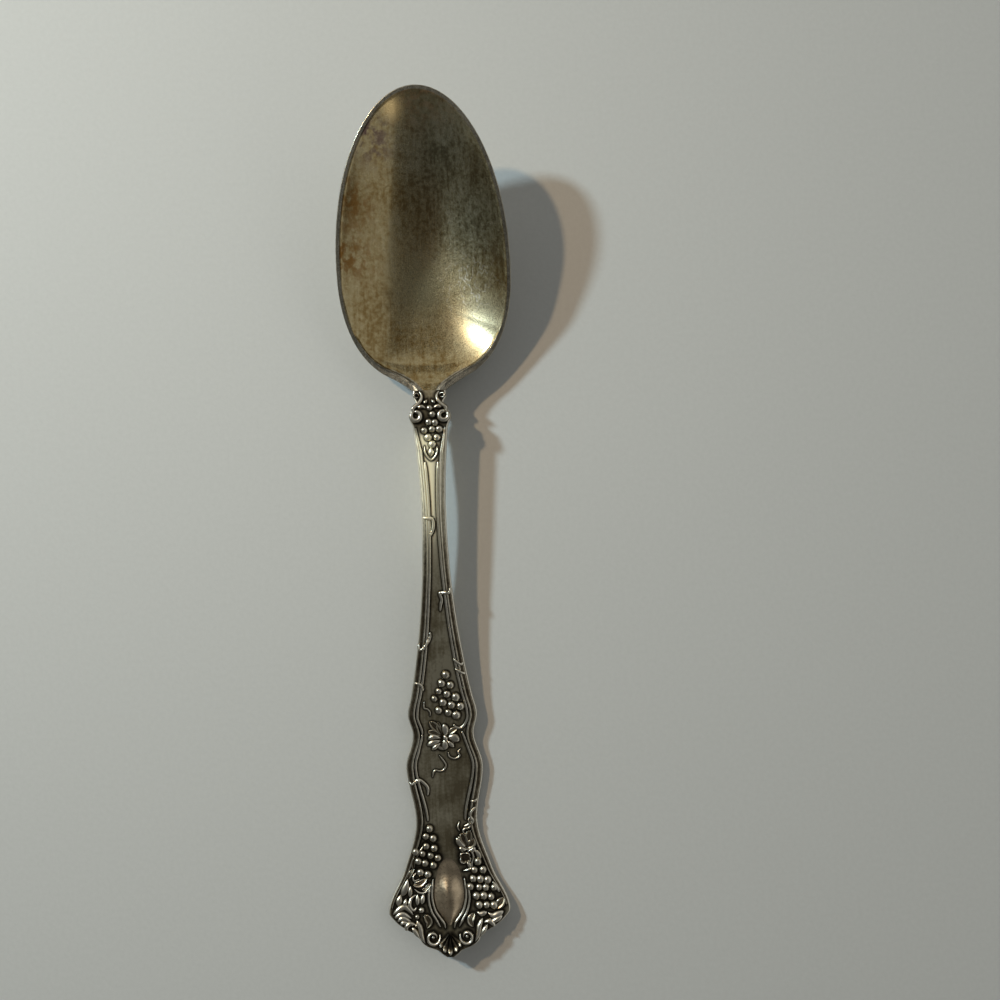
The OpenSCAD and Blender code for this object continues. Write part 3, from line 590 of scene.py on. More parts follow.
def bowl_form():
    """The bowl with its rim, lip, root and back; its wear value says how deeply it is toned."""
    centre = np.array([0, DEEPEST])
    rim, hollow = rim_outline(), hollow_outline()
    flat_len = np.linalg.norm(rim - hollow, axis=1)
    at_side = (rim[:, 1] < JOINT - 0.01).astype(float)
    lip_drop = LIP_DROP * np.clip((hollow[:, 1] - BOWL_FRONT) / (LIP - BOWL_FRONT), 0, 1) ** 4

    def on_flat(from_rim):
        plan = rim + (hollow - rim) * (from_rim / flat_len)[..., None]
        s = plan[..., 1]
        band = np.minimum(band_width(s), 0.85 * flat_len)
        slope = lip_drop * np.clip((from_rim - band) / (flat_len - band), 0, 1)
        step = LIP_STEP * off_band(s, from_rim, at_side) * smooth((JOINT - s) / ROOT_BLEND)
        grown = smooth((s - BEAD_FROM) / BEAD_GROWS)
        bead = BEAD_H * at_side * np.exp(-((from_rim - band) / BEAD_W) ** 2) * grown
        at_root, strands, _ = root_strands(plan[..., 0], s)
        return with_height(plan, top_h(s) - step - slope + bead + at_root * (strands - bead))

    # The hollow, its rounded edge, the lip and the flat band of the rim
    corner = on_flat(flat_len)
    wall_rise = (corner[:, 2] - WALL_T)[:, None]
    stop = 1 - HOLLOW_ROUND / np.linalg.norm(np.hstack([hollow - centre, FULLNESS * wall_rise]), axis=1)
    f = np.linspace(1 / HOLLOW_RINGS, 1, HOLLOW_RINGS)[:, None, None] * stop[:, None]
    inside = np.concatenate([centre + f * (hollow - centre), WALL_T + wall_rise * f ** FULLNESS], axis=2)
    inner_round = rounded_corner(inside[-1], corner, on_flat(flat_len - HOLLOW_ROUND))[1:]
    at_joint = np.clip((rim[:, 1] - (JOINT - JOINT_BLEND)) / JOINT_BLEND, 0, 1)
    rounding = RIM_ROUND * (1 - at_joint) + JOINT_ROUND * at_joint
    g = np.linspace(1, 0, FLAT_RINGS)[1:, None] ** 1.6
    flat = on_flat(rounding + (flat_len - HOLLOW_ROUND - rounding) * g)

    # The rounded edge and the back
    rounding = rounding[:, None]
    down = np.array([0, 0, -1.0])
    edge = with_height(rim, top_h(rim[:, 1]))
    under = with_height(rim, rim_under(rim))
    under_z = under[:, 2:]
    up_back = np.hstack([rim - centre, FULLNESS * under_z])
    upper_round = rounded_corner(flat[-1], edge, edge + rounding * down)[1:]
    lower_round = rounded_corner(under - rounding * down, under, under - rounding * unit(up_back))
    end = 1 - rounding / np.linalg.norm(up_back, axis=1)[:, None]
    f = np.linspace(1, INNERMOST, BACK_RINGS)[1:, None, None] * end
    back = np.concatenate([centre + f * (rim - centre), under_z * f ** FULLNESS], axis=2)
    rings = np.concatenate([inside, inner_round, flat, upper_round, lower_round, back])

    # The toning is deepest in the hollow and on the lip, and ends at the band and at the neck
    tone = np.zeros(rings.shape[:2])
    lip_rows = HOLLOW_RINGS + len(inner_round)
    tone[:lip_rows] = 1
    from_rim = np.linalg.norm(flat[..., :2] - rim, axis=2)
    lip_tone = off_band(flat[..., 1], from_rim, at_side)
    at_root, _, strand_tone = root_strands(flat[..., 0], flat[..., 1])
    tone[lip_rows:lip_rows + len(flat)] = lip_tone + at_root * (strand_tone - lip_tone)
    return skin(rings, tone)


# Handle blank
HANDLE_STEP = 0.25
END_STEP = 0.08
TOP_STEPS = 100
UNDER_STEPS = 28
TOP_ROUND = 0.42
UNDER_ROUND = 0.3
SIDE_WEAR = 0.75
TOP_WEAR = 0.8

# Reach of the dark toning beside an ornament, and what it gains at the foot and at the neck
DARK_REACH = 0.4
FOOT_GAIN = 0.7
NECK_GAIN = 0.5


def top_wear(points, feet):
    """Wear of the handle's top, which is least beside the feet of the ornaments."""
    tree = kdtree.KDTree(len(feet))
    for i, p in enumerate(feet):
        tree.insert((p[0], p[1], 0), i)
    tree.balance()
    s = points[:, :1, 1]
    reach = DARK_REACH + FOOT_GAIN * smooth((s - LOW) / 6) + NECK_GAIN * smooth((COLLAR + 3 - s) / 4)
    gaps = [[tree.find((p[0], p[1], 0))[2] for p in row] for row in points]
    return TOP_WEAR * (1 - np.exp(-(np.array(gaps) / reach) ** 1.2))


def handle_form(ornament_feet):
    """The plain blank with rounded edges, darkened on top close to an ornament."""
    runs = [np.arange(JOINT, FOOT, HANDLE_STEP), np.arange(FOOT, END, END_STEP), [END]]
    runs = np.concatenate(runs)[:, None]
    w = half_w(runs)
    top_round = np.minimum(TOP_ROUND, 0.3 * w)
    z_top = top_h(runs)
    z_low = under_h(runs, 1)
    quarter = np.linspace(0, math.pi / 2, 6)
    u = np.linspace(-1, 1, TOP_STEPS)
    top = np.stack([u * (w - top_round), z_top + 0 * u], axis=2)
    right_top = np.stack([w - top_round + top_round * np.sin(quarter),
                          z_top - top_round + top_round * np.cos(quarter)], axis=2)[:, 1:]
    right_low = np.stack([w - UNDER_ROUND + UNDER_ROUND * np.cos(quarter),
                          z_low + UNDER_ROUND - UNDER_ROUND * np.sin(quarter)], axis=2)
    v = np.linspace(1, -1, UNDER_STEPS)[1:-1] * (w - UNDER_ROUND) / w
    under = np.stack([v * w, under_h(runs, v)], axis=2)
    left_low = right_low[:, ::-1] * [-1, 1]
    left_top = right_top[:, ::-1] * [-1, 1]
    section = np.concatenate([top, right_top, right_low, under, left_low, left_top], axis=1)
    rings = np.stack([section[..., 0], runs + 0 * section[..., 0], section[..., 1]], axis=2)
    wear = np.full(rings.shape[:2], SIDE_WEAR)
    edge_points = len(quarter) - 1
    wear[:, TOP_STEPS:TOP_STEPS + edge_points] = 1
    wear[:, -edge_points:] = 1
    wear[:, :TOP_STEPS] = top_wear(rings[:, :TOP_STEPS], ornament_feet)
    return skin(rings, wear)


# Border
EDGE_STEP = 0.3
EDGE_POINTS = 25

# How the beads end at the waist, as steps of (inset from the waist's edge, distance along)
WAIST_SWING = 4.6
UPPER_TURN = {
    LEFT: [(1.65, -3.2), (2.1, -2), (2.4, -0.8), (2.4, 0.1)],
    RIGHT: [(1.65, -3.2), (2.4, -2), (3.4, -1.4), (4.4, -1.7), (4.9, -2.4)],
}
LOWER_LEAD = {
    LEFT: [(2.4, -0.1), (2.3, 0.9), (1.8, 2.4)],
    RIGHT: [(3, -0.6), (2.5, 0.6), (1.9, 2.4)],
}


def edge_thread(side):
    """Moulding along an edge, rubbed on its lobes and most along the stem."""
    runs = np.arange(EDGE_FROM, EDGE_TO, EDGE_STEP)[:, None]
    share = edge_share(runs)
    across = np.linspace(0, 1, EDGE_POINTS)
    q = curve(EDGE_SECTION, across)
    x = edge_x(side, runs, EDGE_GAP + across * EDGE_W * share)
    z = top_h(runs) + q * EDGE_H * share
    rings = with_feet(np.stack([x, runs + 0 * x, z], axis=2), EDGE_SINK)
    stem_share = 1 - smooth((runs - NARROW) / 20)
    inner = np.clip((q - 0.45) / 0.4, 0, 1) * (0.28 + 0.67 * np.maximum(across, stem_share))
    outer = np.clip((q - 0.02) / 0.3, 0, 1) * (0.55 - 0.25 * smooth((across - 0.08) / 0.2))
    rub_and_sheen = np.where(across < 0.45, np.maximum(outer, inner), inner)
    feet_wear = np.zeros_like(runs)
    return skin(rings, np.hstack([feet_wear, rub_and_sheen, feet_wear]))


def border_run(side, start, stop):
    s = np.linspace(start, stop, 24)
    return np.stack([edge_x(side, s, thread_inset(s)), s], axis=1)


def from_waist(side, steps):
    return [(side * (WAIST_W / 2 - x), WAIST + along) for x, along in steps]


def thread(points):
    return raised_line(path(np.vstack(points)), THREAD_W, THREAD_H, ends=0.6, spacing=THREAD_STEP)


def upper_thread(side):
    """The upper bead runs from the neck to the waist, where it turns towards the middle."""
    run_in = border_run(side, THREAD_FROM, WAIST - WAIST_SWING)
    return thread([run_in, from_waist(side, UPPER_TURN[side])])


def lower_thread(side):
    """The lower bead starts inside the waist and swings out to the belly."""
    run_out = border_run(side, WAIST + WAIST_SWING, THREAD_TO)
    return thread([from_waist(side, LOWER_LEAD[side]), run_out])


def twig_path(side, s, steps):
    """Plan path of a twig, from steps of (inset from the edge, distance along) off a run."""
    return path([(edge_x(side, s + along, inset), s + along) for inset, along in steps])


def twig(side, s, steps):
    return raised_line(twig_path(side, s, steps), TWIG_W, TWIG_H)


def tie(side, s, steps):
    return raised_line(twig_path(side, s, steps), TIE_W, TIE_H, ends=0.6, over_border=True)


def border_ties_left():
    return joined([
        tie(LEFT, NARROW + 1.1, [(0.3, -0.2), (1.4, 0), (2.5, 0.1), (2.9, 1.2), (2.7, 3), (2.1, 4.3)]),
        tie(LEFT, NARROW + 32.6,
            [(0.3, -0.6), (0.4, 0.3), (1, 0.8), (1.7, 0.4), (2.3, -0.6), (2.9, -2.2), (2.8, -3.5)]),
        tie(LEFT, SHOULDER - 8.1, [(0.3, -0.1), (0.95, 0), (1.75, 0.3), (2.6, 1), (2.8, 2.1)]),
        twig(LEFT, SHOULDER - 3.4, [(3.6, 0), (3.9, 1.6), (4.9, 2), (5.6, 2.8), (5.5, 3.8)]),
        tie(LEFT, BELLY + 3.6,
            [(0.3, -0.1), (0.9, 0.5), (1.7, 0.1), (2.7, -0.5), (3.6, 0.1), (4.5, 1.6), (4, 3.6)]),
    ])


def border_ties_right():
    return joined([
        tie(RIGHT, NARROW + 19.4,
            [(0.35, -1.2), (0.8, 0), (2, 0.1), (3.1, 0.2), (2.9, 1.8), (3.3, 3), (3.7, 4.6)]),
        tie(RIGHT, SHOULDER - 12.9, [(0.3, -0.1), (0.95, 0.4), (1.9, -0.2), (2.6, -1)]),
        tie(RIGHT, SHOULDER - 10.4, [(0.3, 0.2), (1.2, 0), (2.2, -0.6), (2.7, -1.1)]),
        tie(RIGHT, LOW - 4.6, [(0.3, -0.4), (0.9, 0.1), (2.1, 0.2)]),
        tie(RIGHT, LOW - 1, [(0.5, -2), (1.9, -0.2), (1.1, 1.4), (2.2, 2.4), (3.6, 3)]),
    ])


# Places on the handle, laid out from the scrolls of the neck, the waist, the foot and the end
def neck_at(points, side=RIGHT):
    return np.array(points) * [side, 1] + [0, SCROLLS]


def waist_at(points):
    return np.array(points) + [0, WAIST]


def foot_at(points):
    """From hundredths of the half width, and of the foot's length above FOOT or the end's below."""
    u, t = np.array(points).T / 100
    s = FOOT + t * np.where(t < 0, FOOT_LEN, END_LEN)
    return np.stack([u * half_w(s), s], axis=1)


def end_at(points, side):
    """From hundredths of the scrolls' width and of the end's length."""
    x, t = np.array(points).T / 100
    return np.stack([side * x * STEP_W, FOOT + t * END_LEN], axis=1)


# Neck
EAR_R = 0.62
NECK_STRAND_W = 1.05
VOLUTE_R = 1.15
VOLUTE_W = 1.3


def neck_ears():
    """Small ring at each side of the root, with a leaf below it."""
    forms = []
    for side in (LEFT, RIGHT):
        eye = (edge_x(side, EARS, EAR_R + 0.33), EARS)
        ring = spiral(side, eye, EAR_R, 0.8 * EAR_R, start=180, turn=330)
        forms.append(raised_line(ring, width=0.6, height=SCROLL_H, spacing=FINE_STEP))
        forms.append(petal(neck_at([(0.5, -4), (0.9, -3.4), (1.4, -2.9)], side), 1, HALF_ROUND))
    return joined(forms)


def neck_scroll(side):
    """Strand that leaves the ear and rolls up into a thick volute, with a small leaf beside it."""
    strand = [(2.5, -6.1), (1.95, -5.3), (1.85, -4.5), (2.2, -3.6), (3, -2.7), (4, -1.9)]
    eye = (side * (SCROLL_W / 2 - VOLUTE_R - VOLUTE_W / 2), SCROLLS + 0.1)
    turn = spiral(side, eye, VOLUTE_R, 0.9 * VOLUTE_R, start=-52, turn=350)
    return joined([
        raised_line(np.vstack([path(neck_at(strand, side)), turn[:12]]), NECK_STRAND_W, SCROLL_H),
        raised_line(turn, VOLUTE_W, SCROLL_H, ends=0.8),
        petal(neck_at([(0.9, -1.7), (1.8, -2.2), (3, -2)], side), 1.2, HALF_ROUND),
    ])


def neck_grapes():
    first = neck_at([(0, -2)])[0]
    return bunch(first, (1, 1, 2, 3, 2, 1), NECK_BERRY_D, pitch=1.85, row_gap=1.84, seed=1)


def neck_pendant():
    """Drop in a U-shaped frame below the bunch."""
    drop = petal(neck_at([(0, 7.8), (0, 8.8), (0, 9.9)]), width=1.6, section=HALF_ROUND, height=0.95)
    frame_path = neck_at([(-1.5, 7.4), (-1.4, 9.2), (0, 10.8), (1.4, 9.2), (1.5, 7.4)])
    return joined([drop, fine_line(frame_path, width=0.55, height=0.45)])


# Shoulder and waist
def middle_grapes():
    first = (1.4, SHOULDER - 9.9)
    counts = (1, 2, 3, 4, 3)
    return bunch(first, counts, MIDDLE_BERRY_D, pitch=2.2, row_gap=2.35, tilt=19, grow=0.09, seed=2)


def middle_leaf():
    """Vine leaf of curled and plump lobes over a low round leaf."""
    curled = (
        ([(-0.4, -0.1), (-1.6, -1.6), (-3.2, -3.3)], 2.2),
        ([(-0.4, 0), (-1, -1.5), (-1.1, -3.1)], 1.4),
        ([(-0.5, 0.4), (-2, -0.3), (-3.8, -0.8)], 1.7),
        ([(1.3, 0.2), (2.3, -0.8), (3.5, -1.4)], 1.7),
    )
    plump = (
        ([(0.6, 0.6), (0.6, -1), (0.3, -2.6)], 2),
        ([(-0.6, 1), (-2.2, 0.6), (-3.9, 1.2)], 1.6),
        ([(-0.7, 1.6), (-2.3, 2), (-4.1, 2.7)], 1.7),
        ([(-0.7, 2.2), (-1.8, 3), (-3, 3.9)], 1.3),
        ([(0.2, 1.3), (0.4, 2.6), (0.3, 4)], 1.9),
        ([(1.1, 0.8), (2.6, 1), (4, 1.8)], 2.4),
        ([(1, 1.7), (1.8, 2.5), (2.6, 3.4)], 1.4),
        ([(0.3, 0.1), (0.5, 0.9), (0.9, 1.9)], 1.3),
    )
    return joined([
        leaf(waist_at([(0, 0.9)])[0], size=3.4, turn=100, height=0.45 * LEAF_H),
        *petals(waist_at, curled),
        *petals(waist_at, plump, HALF_ROUND, 1.1 * LEAF_H),
    ])


def middle_tendrils():
    hang = [(-1.2, 5.3), (-0.2, 6.7), (0.4, 7.9), (-0.2, 9), (-1.2, 9.3), (-2.2, 9.1), (-2.8, 9.6),
            (-3.1, 10.9)]
    loop = [(1.1, 4.6), (1.3, 5.7), (2.6, 6.3), (3.9, 5.6), (3.5, 4.7), (4.3, 3.8)]
    return joined([fine_line(waist_at(points)) for points in (hang, loop)])


# Foot
def curls(lines):
    return [fine_line(foot_at(points), width=0.6, height=0.55) for points in lines]


def left_grapes():
    first = foot_at([(-53, -90)])[0]
    counts = (1, 2, 2, 4, 3, 2)
    return bunch(first, counts, FOOT_BERRY_D, pitch=1.9, row_gap=2.2, lean=-7, tilt=16, seed=3)


def right_grapes():
    first = foot_at([(70, -52)])[0]
    counts = (1, 2, 3, 4, 3, 3)
    return bunch(first, counts, FOOT_BERRY_D, pitch=1.85, row_gap=2.1, lean=9, tilt=5, seed=4)


def left_vine_leaf():
    """Curled leaf and tendrils under the left bunch, and a spray along the border."""
    lobes = (
        ([(-45, -36), (-56, -30), (-70, -29)], 1.9),
        ([(-52, -25), (-44, -24), (-36, -30)], 1.2),
        ([(-83, -60), (-84, -53), (-80, -46)], 1.1),
        ([(-78, -47), (-84, -42), (-86, -35)], 1.3),
    )
    lines = (
        [(-71, -42), (-76, -37), (-70, -33), (-60, -35)],
        [(-65, -24), (-52, -20), (-42, -21), (-37, -26)],
        [(-66, -72), (-74, -66), (-79, -58)],
    )
    return joined(petals(foot_at, lobes) + curls(lines))


def right_vine_leaf():
    """Vine leaf over a low round one, a round leaf below it and tendrils along the border."""
    lobes = (
        ([(52, -69), (50, -75), (43, -84)], 2.2),
        ([(55, -68), (66, -71), (78, -77)], 2.4),
        ([(56, -71), (63, -78), (70, -87)], 2.1),
    )
    plump = (
        ([(50, -69), (38, -72), (27, -79)], 1.8),
        ([(58, -66), (66, -65), (76, -68)], 1.5),
        ([(70, -65), (78, -61), (79, -54)], 1.5),
        ([(52, -66), (42, -66), (31, -68)], 1.4),
        ([(44, -52), (49, -49), (50, -45)], 1.2),
    )
    lines = (
        [(78, -104), (72, -98), (78, -94), (70, -90), (56, -89), (50, -86), (57, -82)],
        [(42, -97), (35, -91), (40, -86)],
        [(52, -63), (62, -64), (64, -57), (56, -50), (53, -45), (42, -43), (33, -42)],
    )
    return joined([
        leaf(foot_at([(54, -73)])[0], size=2.7, turn=-80, height=0.4 * LEAF_H),
        leaf(foot_at([(44, -57)])[0], size=1.9, turn=130, lobes=4),
        *petals(foot_at, lobes),
        *petals(foot_at, plump, HALF_ROUND),
        *curls(lines),
    ])


def left_corner_leaf():
    """Fan of crescents at the corner, with a curl, drops and beads above it."""
    crescents = (
        ([(-60, 6), (-75, -6), (-93, 3)], 1.6),
        ([(-66, 13), (-78, 3), (-94, 11)], 1.5),
        ([(-70, 20), (-81, 12), (-94, 19)], 1.4),
        ([(-75, 28), (-85, 21), (-95, 27)], 1.2),
    )
    drops = (
        ([(-86, -35), (-83, -27), (-84, -17)], 2),
        ([(-87, -19), (-86, -7)], 1.8),
        ([(-75, -28), (-69, -16)], 1.4),
        ([(-57, -19), (-53, -7)], 1.3),
        ([(-46, -19), (-46, -8)], 1.4),
        ([(-75, -15), (-75, -6)], 1.3),
    )
    beads = ((-46, -2), (-93, 35), (-66, 29), (-55, 10))
    bead_radii = (0.75, 0.5, 0.5, 0.6)
    curl = [(-59, -18), (-66, -14), (-66, -7), (-59, -2), (-54, -5)]
    return joined([
        *petals(foot_at, crescents + drops, HALF_ROUND),
        *[berry(p, r) for p, r in zip(foot_at(beads), bead_radii)],
        fine_line(foot_at(curl), width=1.15, height=0.8),
    ])


def right_corner_leaf():
    """Oval leaf at the corner over a curled one, with drops beside the bunch."""
    oval = [(74, -1), (84, -6), (93, -12)]
    drops = (
        ([(64, 6), (77, 13), (89, 4)], 1.7),
        ([(87, -30), (89, -24), (90, -18)], 1.1),
        ([(45, 3), (53, 8), (62, 4)], 1.4),
        ([(74, 24), (84, 23), (92, 14)], 1.4),
    )
    return joined([petal(foot_at(oval), 2.4), *petals(foot_at, drops, HALF_ROUND)])


def acanthus(side):
    """Plumes between the corner and the scroll, with a leaf inside them."""
    plumes = (
        ([(42, 68), (48, 50), (50, 34), (56, 17)], 1.5),
        ([(50, 58), (57, 44), (64, 31)], 1.3),
        ([(57, 27), (68, 24), (77, 35)], 1.4),
    )
    inside = [(40, 36), (35, 22), (42, 6)]
    forms = [petal(end_at(points, side), width, HALF_ROUND, SCROLL_H) for points, width in plumes]
    return joined(forms + [petal(end_at(inside, side), 2)])


# Boss of the foot, the beads round it, the scrolls and the shell
BOSS_AT = FOOT - 3.9
BOSS_UP = 8.8
BOSS_DOWN = 7.2
BOSS_OUTLINE = [
    (BOSS_AT - BOSS_UP, 0.4), (BOSS_AT - 0.9 * BOSS_UP, 0.2 * BOSS_W),
    (BOSS_AT - 0.6 * BOSS_UP, 0.39 * BOSS_W), (BOSS_AT, BOSS_W / 2),
    (BOSS_AT + 0.4 * BOSS_DOWN, 0.43 * BOSS_W), (BOSS_AT + 0.7 * BOSS_DOWN, 0.25 * BOSS_W),
    (BOSS_AT + BOSS_DOWN, 0.3),
]
FLUTES = 5
SHELL_SPREAD = 50


def medallion():
    """Smooth drop-shaped boss, pointed towards the end and rising slowly out of the panel at its top."""
    runs = np.linspace(BOSS_AT - BOSS_UP, BOSS_AT + BOSS_DOWN, 110)[:, None]
    half = curve(BOSS_OUTLINE, runs)
    u = np.sin(np.linspace(-math.pi / 2, math.pi / 2, 61))
    plan = np.stack([u * half, runs + 0 * u], axis=2)
    dome = 0.7 * np.cos(math.pi / 2 * u) ** 2 + 0.3 * (1 - u ** 2)
    down = (runs - BOSS_AT + BOSS_UP) / BOSS_UP
    from_top = 0.2 * smooth(down / 0.35) + 0.8 * smooth((down - 0.35) / 0.6)
    to_point = np.clip(2 * half / BOSS_W, 0, 1)
    rise = BOSS_H * np.where(runs < BOSS_AT, from_top, to_point) * dome
    shown = smooth(down / 0.55)
    return patch(plan, rise, 0.2 * (1 - shown) + np.clip((1 - np.abs(u)) / 0.12, 0, 1) * shown)


def lyre_thread(side):
    """Pair of beads that frame the boss and close below it."""
    inner = ((0.1, -3.7), (0.4, -0.8), (0.35, 1.2), (-0.35, 3.7), (-1.5, 5.4), (-2.4, 6.6), (-2.7, 7.9))
    outer = ((0.8, -2.4), (1.25, 0.2), (1.15, 2), (0.5, 4.1), (-0.6, 5.9), (-1.5, 7.6))
    lines = [path([(side * (BOSS_W / 2 + x), BOSS_AT + s) for x, s in line]) for line in (inner, outer)]
    return joined([raised_line(line, width=0.72, height=0.6) for line in lines])


def foot_scroll(side):
    """Volute with a bead in its eye."""
    eye = end_at([(28.5, 56)], side)[0]
    turn = spiral(side, eye, r_out=1.75, r_in=0.8, start=205, turn=-400, steps=90)
    return joined([raised_line(turn, width=0.85, height=SCROLL_H), berry(eye, r=0.42)])


def tip_shell():
    """Fluted shell that fans out to a scalloped edge at the very end."""
    hinge = FOOT + 0.46 * END_LEN
    reach = END - hinge - 0.4
    share = np.linspace(0, 1, 20 * FLUTES + 1)[:, None]
    a = np.radians(SHELL_SPREAD * (2 * share - 1))
    f = np.linspace(0.15, 1, 40)
    scallop = np.abs(np.sin(math.pi * FLUTES * share))
    r = f * reach * (1 - 0.3 * np.sin(np.abs(a))) * (0.93 + 0.07 * scallop)
    plan = np.stack([r * np.sin(a), hinge + r * np.cos(a)], axis=2)
    rolled = np.exp(-((f - 0.88) / 0.09) ** 2)
    flute = 0.25 + 0.4 * scallop + (0.15 + 0.35 * scallop) * rolled
    rise = SCROLL_H * flute * (1 - 0.85 * f ** 24)
    return patch(plan, rise, np.clip(0.08 + 0.25 * scallop * f + 0.8 * rolled * scallop, 0, 1))


# Shader nodes
def is_link(value):
    return isinstance(value, bpy.types.NodeSocket)


def node(kind, inputs, **settings):
    """Adds a node to the tree of its links, sets its properties and fills its inputs."""
    tree = [value for value in inputs.values() if is_link(value)][0].id_data
    made = tree.nodes.new("ShaderNode" + kind)
    for key, value in settings.items():
        setattr(made, key, value)
    for key, value in inputs.items():
        if is_link(value):
            tree.links.new(value, made.inputs[key])
        else:
            made.inputs[key].default_value = value
    return made


def noise(where, scale, detail=4, rough=0.55, stretch=(1, 1, 1), shift=(0, 0, 0)):
    """Noise with features of about 1 / scale metres, drawn out along an axis where stretch is below 1."""
    placed = node("Mapping", {"Vector": where, "Scale": stretch, "Location": shift})
    made = node("TexNoise",
                {"Vector": placed.outputs[0], "Scale": scale, "Detail": detail, "Roughness": rough})
    return made.outputs["Fac"]


def math_node(operation, a, b=0.0):
    return node("Math", {0: a, 1: b}, operation=operation).outputs[0]


def remap(value, low, high, to_low=0.0, to_high=1.0):
    made = node("MapRange",
                {"Value": value, "From Min": low, "From Max": high, "To Min": to_low, "To Max": to_high},
                interpolation_type="SMOOTHSTEP")
    return made.outputs["Result"]


# What a noise usually lies between
NOISE_LOW = 0.3
NOISE_HIGH = 0.7


def varied(value, texture, amount):
    """A value that a noise raises and lowers by an amount."""
    return math_node("ADD", value, remap(texture, NOISE_LOW, NOISE_HIGH, -amount, amount))


def ramp(value, stops):
    """Colour by value, from stops of (place, linear colour)."""
    made = node("ValToRGB", {"Fac": value})
    elements = made.color_ramp.elements
    while len(elements) < len(stops):
        elements.new(0.5)
    for element, (place, colour) in zip(elements, stops):
        element.position = place
        element.color = (*colour, 1)
    return made.outputs["Color"]


def opaque(colour):
    """A colour with full opacity; a link stays as it is."""
    return colour if is_link(colour) else (*colour, 1)


def mix(share, a, b):
    return node("Mix", {0: share, 6: opaque(a), 7: opaque(b)}, data_type="RGBA").outputs[2]


def bump(height, strength, distance):
    made = node("Bump", {"Height": height, "Strength": strength, "Distance": distance})
    return made.outputs[0]


def stem_rub_and_sheen(where):
    """1 along the left of the stem and less along its right, 0 elsewhere: rubbed gilt with a painted
    sheen, lighter on the left towards the lamps.
    """
    x, y, _ = node("SeparateXYZ", {0: where}).outputs
    s = math_node("SUBTRACT", LENGTH / 2, math_node("DIVIDE", y, MM))
    below_neck = remap(s, COLLAR - 1, COLLAR + 3)
    above_panel = remap(s, NARROW - 2, NARROW + 22, 1, 0)
    # Painted sheen: lighter on the stem's left, the side the lamps light
    to_left = remap(x, -0.5 * MM, 2.5 * MM, 1, 0.35)
    return math_node("MULTIPLY", to_left, math_node("MULTIPLY", below_neck, above_panel))


def near(where, x, s, reach):
    """1 at a plan place, falling to 0 at a reach from it."""
    flat = node("Mapping", {"Vector": where, "Scale": (1 / MM, 1 / MM, 0)}).outputs[0]
    place = (x, LENGTH / 2 - s, 0)
    gap = node("VectorMath", {0: flat, 1: place}, operation="DISTANCE").outputs["Value"]
    return remap(gap, 0, reach, 1, 0)


def new_material(name):
    """Material with nodes, given with its tree and the object's own coordinates."""
    material = bpy.data.materials.new(name)
    material.use_nodes = True
    tree = material.node_tree
    return material, tree, tree.nodes.new("ShaderNodeTexCoord").outputs["Object"]


def metal(name):
    """Metal, given with its tree, the object's own coordinates and the wear of its points."""
    material, tree, where = new_material(name)
    tree.nodes["Principled BSDF"].inputs["Metallic"].default_value = 1.0
    wear = tree.nodes.new("ShaderNodeAttribute")
    wear.attribute_name = "wear"
    return material, tree, where, wear.outputs["Fac"]


def connect(tree, **links):
    """Links nodes to the shader's inputs, whose names have an underscore for each space."""
    shader = tree.nodes["Principled BSDF"]
    for name, link in links.items():
        tree.links.new(link, shader.inputs[name.replace("_", " ")])


# Colours of the metal
OXIDE = (0.022, 0.020, 0.016)
GRIME = (0.032, 0.028, 0.021)
BROWN = (0.13, 0.105, 0.07)
TARNISH = (0.34, 0.31, 0.24)
SILVER = (0.68, 0.65, 0.57)
# Gilt of the stem, with a painted sheen laid into it
BRIGHT = (0.98, 0.93, 0.72)
RELIEF_STOPS = [(0.12, OXIDE), (0.4, BROWN), (0.66, TARNISH), (0.98, SILVER)]
BLANK_STOPS = [(0.36, (0.2, 0.17, 0.11)), (0.5, (0.36, 0.32, 0.225)), (0.64, (0.62, 0.57, 0.43))]
BOSS_STOPS = [(0.35, (0.4, 0.32, 0.225)), (0.65, (0.66, 0.545, 0.395))]
TAN_STOPS = [(0.3, (0.22, 0.15, 0.06)), (0.5, (0.33, 0.265, 0.14)), (0.7, (0.4, 0.34, 0.205))]
ASH_STOPS = [(0.34, (0.17, 0.15, 0.09)), (0.5, (0.32, 0.3, 0.2)), (0.66, (0.43, 0.41, 0.3))]
GREY_STOPS = [(0.3, (0.25, 0.23, 0.185)), (0.65, (0.4, 0.375, 0.31))]
RUST = (0.2, 0.105, 0.03)
COPPER = (0.5, 0.32, 0.17)
PLUM = (0.13, 0.085, 0.075)
# Painted glint: a bright golden streak painted near the tip, where a reflection shows
PAINTED_GLINT = (0.8, 0.6, 0.3)
OLIVE = (0.4, 0.37, 0.235)
# Pale tint painted where the lamp's highlight falls in the bowl, to whiten the highlight
PAINTED_HIGHLIGHT_TINT = (0.66, 0.62, 0.43)

# Places in the bowl, as x, run and reach
OLIVE_AT = (0, DEEPEST - 3, 13)
FRONT_ASH_AT = (12, 28, 20)
TIP_ASH_AT = (5, 12, 16)
# Place of the painted glint
PAINTED_GLINT_AT = (-5.4, 4, 4)
# Place of the pale tint painted under the highlight
PAINTED_HIGHLIGHT_AT = (13, 53, 12)
SCRATCHED_AT = (11, 43, 13)
BLOTCHES = (((-19, 36, 11), RUST), ((-17, 24, 9), RUST), ((-11, 10, 9), PLUM), ((4, 1, 13), COPPER))
SCRATCH_W = 0.014


